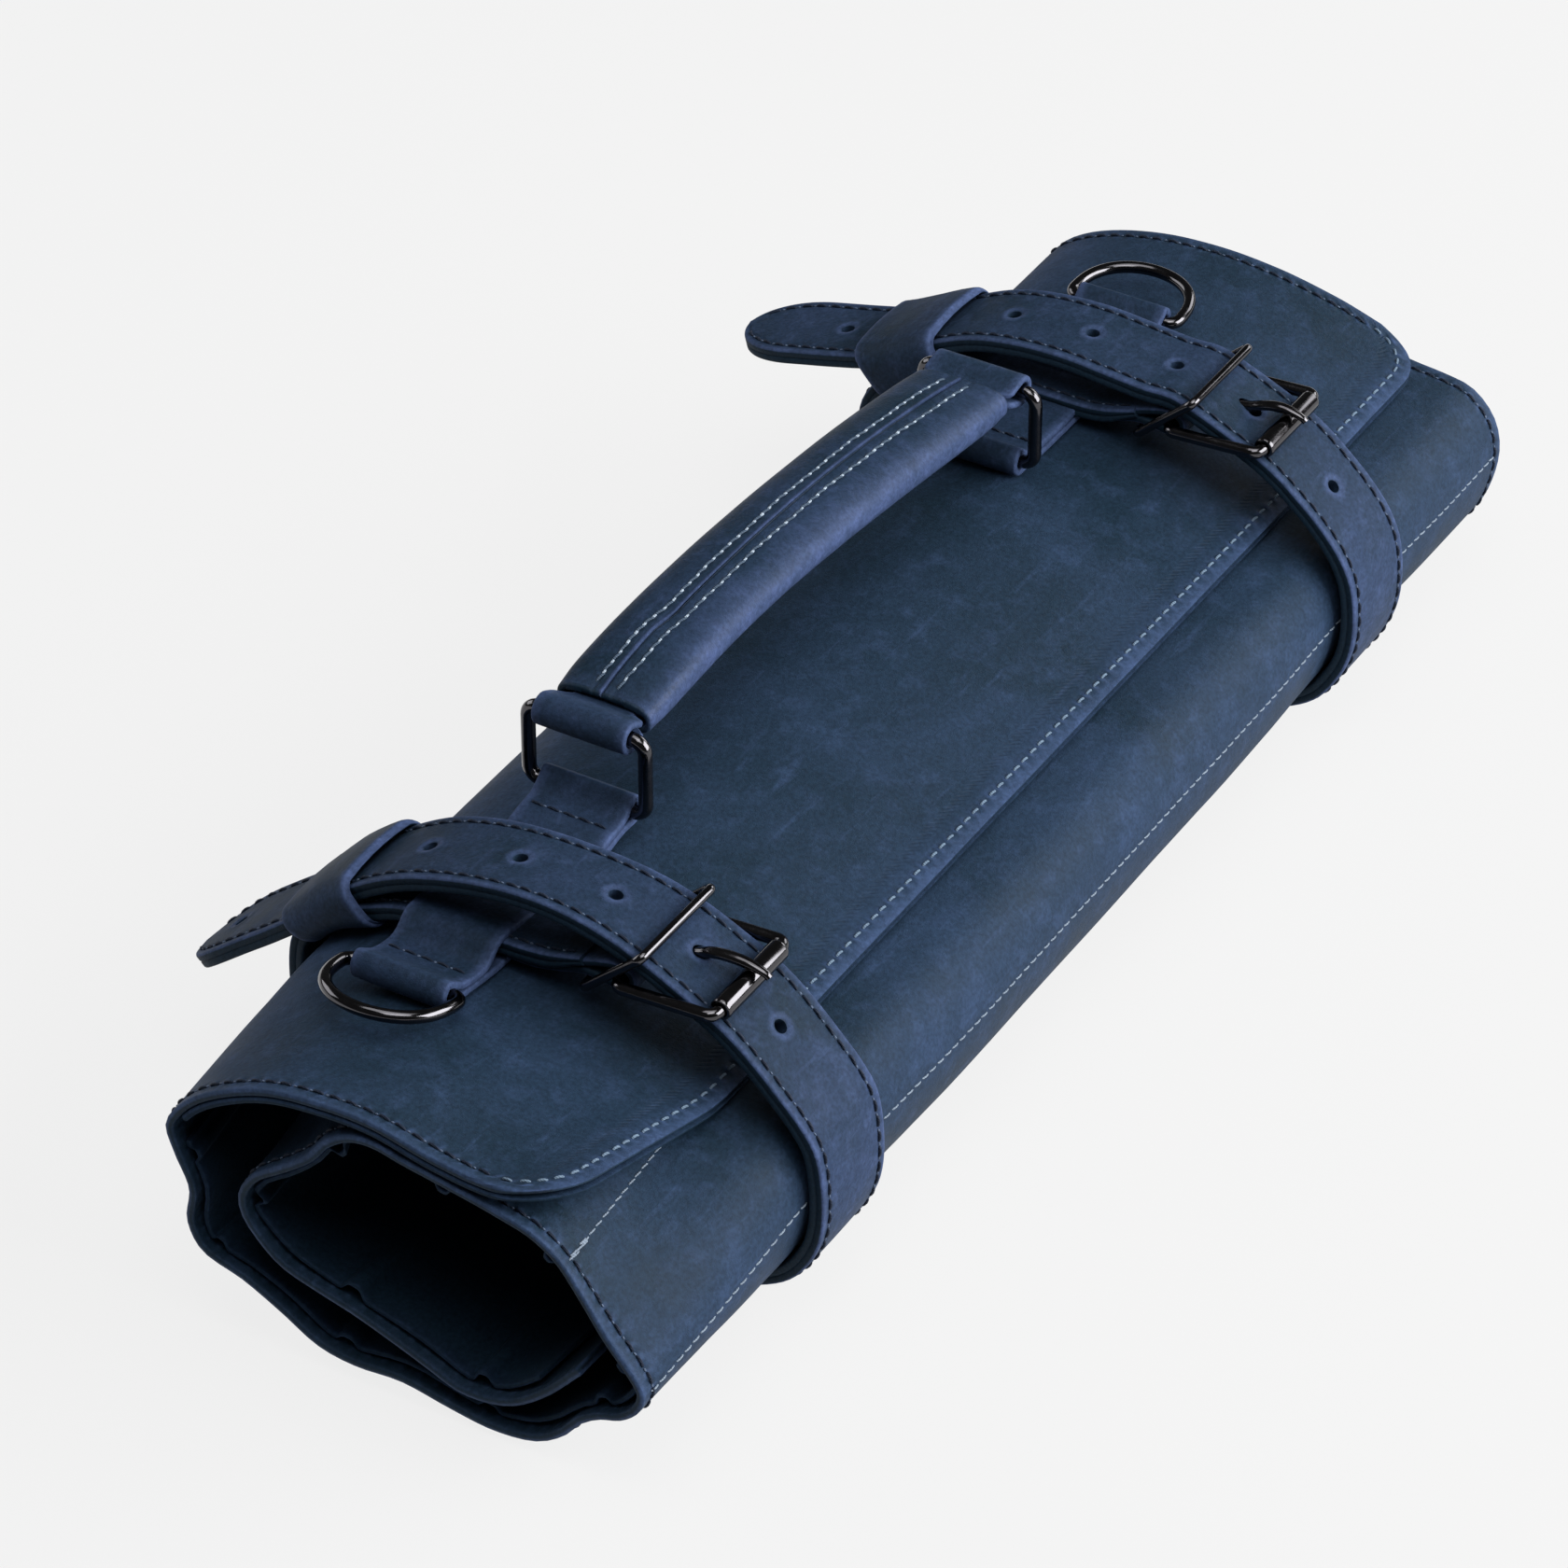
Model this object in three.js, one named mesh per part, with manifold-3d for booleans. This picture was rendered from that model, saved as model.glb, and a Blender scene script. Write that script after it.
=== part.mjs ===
// Chef knife roll, closed: one leather sheet rolled about two turns, held by
// two buckled belts, with a handle on metal rings along the top.
// Millimetres, +Z up, X along the roll, -Y the side that the flap closes on.
// Origin: centre of the footprint, on the surface that the belts lie on.
import * as THREE from 'three';
import Module from 'manifold-3d';
import { mergeVertices } from 'three/addons/utils/BufferGeometryUtils.js';

const wasm = await Module();
wasm.setup();

// ---------------------------------------------------------------- sizes
const LENGTH = 460;            // rolled length along X
const COVER_T = 2.2;           // cover leather
const LINING_T = 1.8;          // second layer under the flap
const PANEL_T = 1.4;           // pocket panel
const GAP = 0.3;               // between separate pieces
const FLAP_CORNER_R = 18;      // rounded corners of the flap
const BELT_W = 30;             // belt width
const BELT_T = 4.4;            // belt thickness, two layers
const BELT_X = 141.6;          // belt centres at minus and plus this
const LIFT = 0.4;              // belt over the cover
const RAISE = BELT_T + LIFT;   // underside of the belts is the lowest face
const WIRE_FRAME = 1.75;       // buckle frame wire radius
const WIRE_RING = 1.9;         // handle ring wire radius
const WIRE_D = 1.75;           // D-ring wire radius
const WIRE_KEEPER = 1.3;       // metal keeper wire radius
const ROLLER_R = 2.95;         // buckle roller outside radius
const ROLLER_BORE = 2.05;
const ROLLER_L = 28;
const FRAME_W = 34.2;          // buckle frame, wire centre to wire centre
const LOOP_T = 2.2;            // single leather layer where it wraps a bar
const TAB_W = 27.4;             // anchor tab width
const RING_W = 34.5;           // handle ring, wire centre to wire centre
const RING_CORNER = 3.5;       // handle ring corner radius, wire centre
const LINK_H = 22.4;           // handle ring height, wire centre to centre
const HANDLE_W = 27.4;          // core strap width at the rings
const CORE_W = 18;             // core strap width inside the sleeve
const CORE_T = 3.6;            // core strap, two layers pressed together
const SLEEVE_T = 2.2;          // sleeve leather
const D_W = 33.4;              // D-ring bar, wire centre to wire centre
const D_REACH = 21;            // D-ring, bar to tip
const KEEPER_T = 2.0;          // leather keeper, outside wall
const KEEPER_IN = 1.8;         // leather keeper, inside wall

// ---------------------------------------------------------------- tables
// Outer face of the cover, from the flap edge over the top, down the back
// (+Y), along the bottom, up the front, then the second turn inside.
// Columns: y, z. Rows are grouped by fold.
const NEAR_END = {
  flap: [[-48, 78.3], [-29.8, 75.3], [-14.3, 76.6], [1.3, 79.9], [17.2, 79.8], [33.4, 77.1], [50, 69], [58.7, 61.6], [63.1, 53.9]],
  back: [[61.1, 46], [57.3, 36.3], [58.6, 25.5], [54.8, 17.6]],
  bottom: [[42.5, 13], [31.9, 7.6], [21.3, 1.5], [10.4, -0.2], [-3.2, 0.9], [-16.6, -1.4], [-30, -2.8], [-42, -0.6], [-49.7, 4.9], [-54.6, 11], [-59.5, 14.6]],
  front: [[-66, 17.4], [-71, 22.4], [-72.4, 28]],
  top2: [[-69, 34], [-63, 41.5], [-56.3, 51.9], [-50.1, 60.2], [-42.5, 65.4], [-32.2, 68], [-19.3, 70.4], [-6.3, 72.6], [2, 74.2], [9.5, 73]],
  back2: [[16.4, 68.2], [20.8, 62.3], [29.2, 55.2], [38.6, 48.1], [42.7, 40.6], [42, 34.4], [37.6, 28.1], [31.1, 22.5], [20.3, 19]],
  bottom2: [[9.6, 16.2], [-1, 12.5], [-11.6, 8.3], [-19.5, 5.2], [-27.5, 5.2], [-35.2, 7.6], [-44.7, 15], [-55.2, 26.9]],
};
const MIDDLE = {
  flap: [[-51, 59.3], [-43.8, 60.3], [-34.7, 63], [-19.6, 67.5], [-1.5, 71], [19.5, 72.2], [40.6, 69.8], [59, 63.6], [68.7, 56]],
  back: [[72.3, 45], [71.5, 32], [67.6, 19], [58, 8.5]],
  bottom: [[45, 2.9], [32, 0.7], [16, 0], [0, 0], [-16, 0], [-34, 0.2], [-47, 1.9], [-59, 6.8]],
  front: [[-67.4, 14], [-71.8, 25], [-73, 36]],
  top2: [[-70.6, 44.5], [-64, 51.2], [-55, 53.5], [-44, 54.8], [-34.5, 57.4], [-19.5, 62.1], [-1.5, 65.6], [18, 66.6], [36, 63.6]],
  back2: [[48, 57], [54.3, 47.5], [54, 37], [49, 26], [38, 15.8], [22, 9.8]],
  bottom2: [[2, 7.2], [-18, 6.4], [-36, 7.8], [-48, 13.6], [-56, 24]],
};
// Samples taken along each fold.
const FOLDS = [['flap', 14], ['back', 6], ['bottom', 14], ['front', 5], ['top2', 14], ['back2', 8], ['bottom2', 9]];
// The near end springs open from here to the end, x.
const OPEN_FROM = -160;
const STATIONS = [-230, -227, -220, -212, -190, -160, 0, 212, 220, 227, 230];
const PANEL_X = [-227, -220, -212, -190, -160, 60];  // pocket panel, mouth first
const PLEAT = 40;              // pitch of the pocket mouths
const PLEAT_H = 2.6;           // how far a mouth stands off the cover

// Belt outer face, from the tip over the top to the front (y, z), then from
// the back of the roll over the top to the buckle bar.
const BELTS = {
  near: {
    tongue: [[113.5, 31.2], [104, 40.4], [94, 48.6], [84, 56.4], [75, 64], [66.8, 72.4], [56, 81.2], [43, 88.6], [27, 93.6], [10, 95.8], [-6, 95.4], [-19, 93], [-29.5, 89.2], [-38, 85.2], [-46, 81.2], [-53, 76.6], [-59.5, 71], [-66, 64.4], [-72.2, 57.6], [-76.6, 50]],
    back: [[76.5, 55.7], [72.3, 63.4], [64.2, 70.5], [53, 75.6], [46.5, 78.4], [41, 79.7], [28, 79.8], [14, 79.8], [7, 79.8], [0, 80.6], [-7, 82.6], [-13.5, 85], [-18.2, 86.2]],
    holes: [102, 83, 42.7, 16.3, -11, -57.6],
  },
  far: {
    tongue: [[121, 61.6], [110, 64.4], [98, 67.4], [86, 70.4], [75, 73.6], [66, 78], [56, 83.6], [43, 89.6], [30, 92.6], [14, 93.6], [0, 92.6], [-12, 91.6], [-21, 91.6], [-29.5, 88.8], [-38, 85.2], [-46, 81.6], [-53.5, 77.2], [-60.5, 71.6], [-68, 64.6], [-74.4, 56.6], [-78.4, 47]],
    back: [[76.6, 56], [72.8, 64], [65, 71], [54, 76], [47, 78.5], [41, 79.7], [28, 79.8], [14, 79.8], [7, 79.8], [0, 80.6], [-7, 82.6], [-13.5, 85], [-18.2, 86.2]],
    holes: [89, 35.6, 11.1, -14.8, -63.6],
  },
};
// Underside of the buckle end of the belt, from the bar back to where the
// two layers lie flat.
const FOLD_UNDER = [[-17.6, 77.9], [-14.5, 78.8], [-11.4, 79.2], [-8.4, 78.8], [-3, 77.1]];
const BAR = [-21, 82];         // back bar of the buckle frame, y z
const FRONT = [-48.8, 83.7];   // roller axis, y z
const PRONG = [[-20.5, 84.85], [-26, 86.2], [-34, 87.1], [-42, 88], [-48.6, 88.35], [-53.6, 87.2]];
const PRONG_T = 2.6;
const LOOPER_TOP = { near: [-28.4, 92.9], far: [-28.4, 92.8] };  // metal keeper, bar over the tongue, y z
const LOOPER_BOT = [-11.4, 77.3];  // metal keeper, bar under the belt, y z
const HOLE_R = 2.0;

// Handle, side view: x, centre z, half width, half thickness.
const SLEEVE = [
  [-88, 102.8, 15.0, 5.2], [-80, 103.0, 15.4, 5.9], [-66, 103.6, 15.6, 7.3], [-46, 104.5, 15.6, 8.0],
  [-22, 103.9, 15.6, 8.2], [0, 102.6, 15.6, 8.2], [24, 100.9, 15.6, 8.1], [48, 99.0, 15.6, 7.7],
  [67, 97.5, 15.5, 6.9], [80, 96.9, 15.2, 5.8], [88, 97.2, 14.9, 5.2],
];
const SLEEVE_SIDES = 20;
// Handle rings: x, y of centre, z of the lower bar.
const RING = { near: [-96, 26, 81.6], far: [97, 22, 77.8] };
// D-rings: x of bar, y of centre, z of bar, z of tip.
const DRING = { near: [-179, 26, 79.6, 84.2], far: [179, 22, 77.4, 78.6] };
// Anchor tabs, underside of the lower layer: x, z.
const TAB_UNDER = {
  near: [[-173, 75.0], [-164, 73.6], [-157.4, 72.8], [-125.6, 72.8], [-118, 73.4], [-108, 75.8], [-100.5, 77.3]],
  far: [[102.5, 73.3], [110, 72.9], [125.6, 72.8], [157.4, 72.8], [166, 72.9], [173.5, 73.0]],
};
const WINDOW = [75.0, 80.2];   // belt window in the tab, bottom and top z

// ---------------------------------------------------------------- helpers
const v3 = (x, y, z) => new THREE.Vector3(x, y, z);

function spline(rows, closed = false) {
  return new THREE.CatmullRomCurve3(rows.map(([a, b]) => v3(a, b, 0)), closed, 'centripetal');
}

// Points at equal distances along rows of [a, b].
function spaced(rows, n) {
  return spline(rows).getSpacedPoints(n).map((p) => [p.x, p.y]);
}

function normals(pts) {
  // right-hand side of the direction of travel
  return pts.map((p, i) => {
    const a = pts[Math.max(0, i - 1)], b = pts[Math.min(pts.length - 1, i + 1)];
    const dx = b[0] - a[0], dz = b[1] - a[1], l = Math.hypot(dx, dz) || 1;
    return [dz / l, -dx / l];
  });
}

const shift = (pts, nrm, d) => pts.map((p, i) => [p[0] + nrm[i][0] * d, p[1] + nrm[i][1] * d]);

function indexed(positions, index) {
  const g = new THREE.BufferGeometry();
  g.setAttribute('position', new THREE.Float32BufferAttribute(positions, 3));
  g.setIndex(index);
  return g;
}

function merged(geometry) {
  const g = geometry.index ? geometry.clone() : geometry.clone();
  g.deleteAttribute('normal');
  g.deleteAttribute('uv');
  return mergeVertices(g, 1e-4);
}

function toSolid(geometry) {
  const g = merged(geometry);
  return new wasm.Manifold(new wasm.Mesh({
    numProp: 3,
    vertProperties: new Float32Array(g.attributes.position.array),
    triVerts: new Uint32Array(g.index.array),
  }));
}

function fromSolid(solid) {
  const m = solid.getMesh();
  return indexed(Array.from(m.vertProperties), Array.from(m.triVerts));
}

// Prism of an outline given in (y, z), running along X from x0 to x1.
function prismX(outline, x0, x1, holes = []) {
  const s = new THREE.Shape(outline.map(([a, b]) => new THREE.Vector2(a, b)));
  for (const h of holes) s.holes.push(new THREE.Path(h.map(([a, b]) => new THREE.Vector2(a, b))));
  const g = new THREE.ExtrudeGeometry(s, { depth: x1 - x0, bevelEnabled: false, steps: 1 });
  g.applyMatrix4(new THREE.Matrix4().makeBasis(v3(0, 1, 0), v3(0, 0, 1), v3(1, 0, 0)));
  g.translate(x0, 0, 0);
  return g;
}

// Prism of an outline given in (x, z), running along Y, centred on y.
function prismY(outline, y, width, holes = []) {
  const s = new THREE.Shape(outline.map(([a, b]) => new THREE.Vector2(a, b)));
  for (const h of holes) s.holes.push(new THREE.Path(h.map(([a, b]) => new THREE.Vector2(a, b))));
  const g = new THREE.ExtrudeGeometry(s, { depth: width, bevelEnabled: false, steps: 1 });
  g.applyMatrix4(new THREE.Matrix4().makeBasis(v3(1, 0, 0), v3(0, 0, 1), v3(0, -1, 0)));
  g.translate(0, y + width / 2, 0);
  return g;
}

function circle(cy, cz, r, n, from = 0) {
  const out = [];
  for (let i = 0; i < n; i += 1) {
    const a = from + (2 * Math.PI * i) / n;
    out.push([cy + r * Math.cos(a), cz + r * Math.sin(a)]);
  }
  return out;
}

// Wire bent in a plane: points are the centreline, flat is the plane's normal.
function wire(points, flat, radius, sides) {
  const n = points.length, pos = [], idx = [];
  for (let i = 0; i < n; i += 1) {
    const a = points[(i + n - 1) % n], b = points[(i + 1) % n];
    const t = b.clone().sub(a).normalize();
    const u = flat.clone().normalize();
    const w = t.clone().cross(u).normalize();
    for (let k = 0; k < sides; k += 1) {
      const c = (2 * Math.PI * (k + 0.5)) / sides;
      const p = points[i].clone().addScaledVector(w, radius * Math.cos(c)).addScaledVector(u, radius * Math.sin(c));
      pos.push(p.x, p.y, p.z);
    }
  }
  for (let i = 0; i < n; i += 1) {
    for (let k = 0; k < sides; k += 1) {
      const a = i * sides + k, b = i * sides + ((k + 1) % sides);
      const c = ((i + 1) % n) * sides + k, d = ((i + 1) % n) * sides + ((k + 1) % sides);
      idx.push(a, b, d, a, d, c);
    }
  }
  const g = indexed(pos, idx);
  return toSolid(g).volume() < 0 ? indexed(pos, idx.reduce((o, _, i) => (i % 3 ? o : o.concat(idx[i], idx[i + 2], idx[i + 1])), [])) : g;
}

// Rounded rectangle in local (u, v): corner radii are [at v = 0, at v = h].
function roundedLoop(w, h, r0, r1, seg) {
  const out = [];
  const arc = (cu, cv, r, a0) => {
    for (let i = 0; i <= seg; i += 1) {
      const a = a0 + (Math.PI / 2) * (i / seg);
      out.push([cu + r * Math.cos(a), cv + r * Math.sin(a)]);
    }
  };
  arc(w / 2 - r1, h - r1, r1, 0);
  arc(-w / 2 + r1, h - r1, r1, Math.PI / 2);
  arc(-w / 2 + r0, r0, r0, Math.PI);
  arc(w / 2 - r0, r0, r0, 1.5 * Math.PI);
  return out;
}

// ---------------------------------------------------------------- the roll
function foldSamples(table) {
  const rows = [], start = {};
  for (const [name] of FOLDS) { start[name] = rows.length; rows.push(...table[name]); }
  const curve = new THREE.CatmullRomCurve3(rows.map(([a, b]) => v3(a, b, 0)), false, 'centripetal');
  const last = rows.length - 1, out = [];
  FOLDS.forEach(([name, count], f) => {
    const i0 = f === 0 ? 0 : start[name] - 1;
    const i1 = start[name] + table[name].length - 1;
    const dense = [], N = 160;
    for (let k = 0; k <= N; k += 1) { const p = curve.getPoint((i0 + ((i1 - i0) * k) / N) / last); dense.push([p.x, p.y]); }
    const len = [0];
    for (let k = 1; k <= N; k += 1) len.push(len[k - 1] + Math.hypot(dense[k][0] - dense[k - 1][0], dense[k][1] - dense[k - 1][1]));
    for (let k = f === 0 ? 0 : 1; k <= count; k += 1) {
      const s = (len[N] * k) / count;
      let j = len.findIndex((l) => l >= s - 1e-9);
      j = Math.max(1, j);
      const q = (s - len[j - 1]) / (len[j] - len[j - 1] || 1);
      out.push([dense[j - 1][0] + q * (dense[j][0] - dense[j - 1][0]), dense[j - 1][1] + q * (dense[j][1] - dense[j - 1][1])]);
    }
  });
  return out;
}
const nearPts = foldSamples(NEAR_END);
const midPts = foldSamples(MIDDLE).map(([y, z]) => [y, Math.max(z, 0)]);
const foldEnd = {};
FOLDS.reduce((n, [name, count]) => { foldEnd[name] = n + count; return n + count; }, 0);

const openness = (x) => Math.min(1, Math.max(0, (OPEN_FROM - x) / (OPEN_FROM + LENGTH / 2)));

function profile(x) {
  const w = openness(x);
  return midPts.map((m, i) => [m[0] + w * (nearPts[i][0] - m[0]), m[1] + w * (nearPts[i][1] - m[1])]);
}

// Pull the flap's edge back near both ends, so that its corners are round.
function trimFlap(pts, x) {
  const d = LENGTH / 2 - Math.abs(x);
  if (d >= FLAP_CORNER_R) return pts;
  const back = FLAP_CORNER_R - Math.sqrt(Math.max(0, FLAP_CORNER_R ** 2 - (FLAP_CORNER_R - d) ** 2));
  const reach = 7, len = [0];
  for (let i = 1; i <= reach; i += 1) len.push(len[i - 1] + Math.hypot(pts[i][0] - pts[i - 1][0], pts[i][1] - pts[i - 1][1]));
  const at = (s) => {
    let j = 1;
    while (j < reach && len[j] < s) j += 1;
    const q = (s - len[j - 1]) / (len[j] - len[j - 1]);
    return [pts[j - 1][0] + q * (pts[j][0] - pts[j - 1][0]), pts[j - 1][1] + q * (pts[j][1] - pts[j - 1][1])];
  };
  return pts.map((p, i) => (i < reach ? at(back + (len[reach] - back) * (i / reach)) : p));
}

// A layer of the sheet between two depths inside the outer face.
function layer(stations, d0, d1, from, to, trim, extra = () => 0) {
  const ns = stations.length, np = to - from + 1, pos = [], idx = [];
  let run = 0;
  const flat = [0];
  for (let i = 1; i < midPts.length; i += 1) { run += Math.hypot(midPts[i][0] - midPts[i - 1][0], midPts[i][1] - midPts[i - 1][1]); flat.push(run); }
  for (const side of [0, 1]) {
    for (const x of stations) {
      let pts = profile(x);
      if (trim) pts = trimFlap(pts, x);
      const nrm = normals(pts).map(([a, b]) => [a, b]);
      for (let i = from; i <= to; i += 1) {
        const d = (side ? d1 : d0) + extra(x, flat[i]);
        pos.push(x, pts[i][0] + nrm[i][0] * d, pts[i][1] + nrm[i][1] * d);
      }
    }
  }
  const at = (side, s, i) => side * ns * np + s * np + i;
  const quad = (a, b, c, d) => idx.push(a, b, c, a, c, d);
  for (let s = 0; s < ns - 1; s += 1) {
    for (let i = 0; i < np - 1; i += 1) {
      quad(at(0, s, i), at(0, s + 1, i), at(0, s + 1, i + 1), at(0, s, i + 1));
      quad(at(1, s, i), at(1, s, i + 1), at(1, s + 1, i + 1), at(1, s + 1, i));
    }
    quad(at(0, s, 0), at(1, s, 0), at(1, s + 1, 0), at(0, s + 1, 0));
    quad(at(0, s, np - 1), at(0, s + 1, np - 1), at(1, s + 1, np - 1), at(1, s, np - 1));
  }
  for (let i = 0; i < np - 1; i += 1) {
    quad(at(0, 0, i), at(0, 0, i + 1), at(1, 0, i + 1), at(1, 0, i));
    quad(at(0, ns - 1, i), at(1, ns - 1, i), at(1, ns - 1, i + 1), at(0, ns - 1, i + 1));
  }
  return indexed(pos, idx);
}

// ---------------------------------------------------------------- belts
// Outer face of a belt, tip first. The stretch round the front, bottom and
// back follows the cover at a constant lift.
function beltPath(rows) {
  const d = RAISE;
  const nrm = normals(midPts);
  const wrap = shift(midPts, nrm, -d).slice(foldEnd.flap + 1, foldEnd.front - 1).reverse();
  const wrapClear = wrap.map(([y, z]) => [y, Math.max(z, -RAISE)]);
  const head = rows.tongue, tail = rows.back;
  const startZ = head[head.length - 1][1];
  const kept = wrapClear.filter(([y, z]) => (y < 0 ? z < startZ - 7 : z < tail[0][1] - 7));
  const side = head[head.length - 1][0] < -78 ? kept.map(([y, z]) => [y < -60 ? y - 2 * Math.min(1, Math.max(0, (z - 5) / 30)) : y, z])
    : kept.map(([y, z]) => [y < -60 ? y - 0.8 * Math.min(1, Math.max(0, (z - 2) / 16)) : y, z]);
  const all = [...head, ...side, ...tail];
  const total = 640;
  return spaced(all, Math.round(total / 6.6));
}

function nearest(path, test) {
  let best = 0;
  path.forEach((p, i) => { if (test(p) < test(path[best])) best = i; });
  return best;
}

function belt(side) {
  const rows = BELTS[side], xc = side === 'near' ? -BELT_X : BELT_X;
  const outer = beltPath(rows);
  const nrm = normals(outer).map(([a, b]) => [-a, -b]);
  const inner = shift(outer, nrm, BELT_T);
  // cut the inner face off before the buckle loop, where the fold begins
  const last = inner.length - 1;
  let cut = last;
  while (inner[cut][0] < FOLD_UNDER[FOLD_UNDER.length - 1][0] + 3) cut -= 1;
  const loopR = WIRE_FRAME + GAP + LOOP_T;
  const bend = [];
  for (let a = 105; a <= 255; a += 18.75) bend.push([BAR[0] + loopR * Math.cos((a * Math.PI) / 180), BAR[1] + loopR * Math.sin((a * Math.PI) / 180)]);
  const outline = [...outer, ...bend, ...FOLD_UNDER, ...inner.slice(0, cut + 1).reverse()];
  const bore = circle(BAR[0], BAR[1], WIRE_FRAME + GAP, 12);
  let solid = toSolid(prismX(outline, xc - BELT_W / 2, xc + BELT_W / 2, [bore]));
  // rounded tip
  const dir = [outer[0][0] - outer[2][0], outer[0][1] - outer[2][1]];
  const dl = Math.hypot(...dir), t = [dir[0] / dl, dir[1] / dl], n = nrm[1];
  const arch = [];
  for (let k = 0; k <= 10; k += 1) { const v = (26 * k) / 10, q = 1 - v / 26; arch.push([(BELT_W / 2 + 0.01) * Math.sqrt(1 - q ** 2.1), v]); }
  for (const sgn of [1, -1]) {
    const ring = [...arch.map(([h, v]) => new THREE.Vector2(sgn * h, -v)), new THREE.Vector2(sgn * 22, -26), new THREE.Vector2(sgn * 22, 6), new THREE.Vector2(0, 6)];
    const g = new THREE.ExtrudeGeometry(new THREE.Shape(sgn > 0 ? ring : ring.reverse()), { depth: 22, bevelEnabled: false });
    // local x -> X, local y -> along the tip, local z -> into the belt
    const T = v3(0, t[0], t[1]), X = v3(1, 0, 0), Z = X.clone().cross(T);
    g.applyMatrix4(new THREE.Matrix4().makeBasis(X, T, Z));
    g.translate(xc, outer[0][0] - Z.y * 11 + n[0] * 2, outer[0][1] - Z.z * 11 + n[1] * 2);
    solid = solid.subtract(toSolid(g));
  }
  // punched holes
  for (const y of rows.holes) {
    const half = outer.slice(0, Math.round(outer.length * 0.5));
    const i = Math.max(1, nearest(half, (p) => Math.abs(p[0] - y) + (p[1] < 20 ? 500 : 0)));
    solid = solid.subtract(toSolid(drill(outer[i], nrm[i], xc, HOLE_R)));
  }
  // room for the prong: through the tongue, and round the bar
  solid = solid.subtract(toSolid(prongSolid(xc, 0.35)));
  const slot = prismX(circle(BAR[0], BAR[1], 4.75, 16), xc - 2.2, xc + 2.2);
  solid = solid.subtract(toSolid(slot));
  // the loop is a little narrower than the belt, clear of the frame's corners
  const notch = [[-27, 76], [-14, 76], [-14, 86.5], [-27, 86.5]];
  for (const sgn of [-1, 1]) solid = solid.subtract(toSolid(prismX(notch, xc + sgn * 15.1 - 1, xc + sgn * 15.1 + 1)));
  return { solid, outer, inner, nrm, xc };
}

function drill(p, n, xc, r) {
  const g = new THREE.CylinderGeometry(r, r, 14, 12);
  const q = new THREE.Quaternion().setFromUnitVectors(v3(0, 1, 0), v3(0, n[0], n[1]).normalize());
  g.applyQuaternion(q);
  g.translate(xc, p[0] + n[0] * BELT_T / 2, p[1] + n[1] * BELT_T / 2);
  return g;
}

// Prong: an eye round the bar and an arm that ends on the roller.
function prongSolid(xc, grow) {
  const arm = spaced(PRONG, 10), nrm = normals(arm), h = PRONG_T / 2 + grow;
  const up = shift(arm, nrm, h), dn = shift(arm, nrm, -h);
  const tip = arm[10], tn = normals(arm)[10];
  const end = [tip[0] - 0.9 - grow, tip[1] - 0.3];
  const outline = [...up, end, ...dn.slice().reverse()];
  void tn;
  const w = PRONG_T / 2 + 0.2 + grow;
  const armSolid = toSolid(prismX(area(outline) > 0 ? outline : outline.slice().reverse(), xc - w, xc + w));
  if (grow > 0) return fromSolid(armSolid);
  const eye = toSolid(prismX(circle(BAR[0], BAR[1], WIRE_FRAME + GAP + 1.9, 16), xc - w, xc + w));
  const bore = toSolid(prismX(circle(BAR[0], BAR[1], WIRE_FRAME + GAP, 12), xc - w - 1, xc + w + 1));
  return fromSolid(armSolid.add(eye).subtract(bore));
}

function area(pts) {
  return pts.reduce((s, p, i) => { const q = pts[(i + 1) % pts.length]; return s + p[0] * q[1] - q[0] * p[1]; }, 0) / 2;
}

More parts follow.
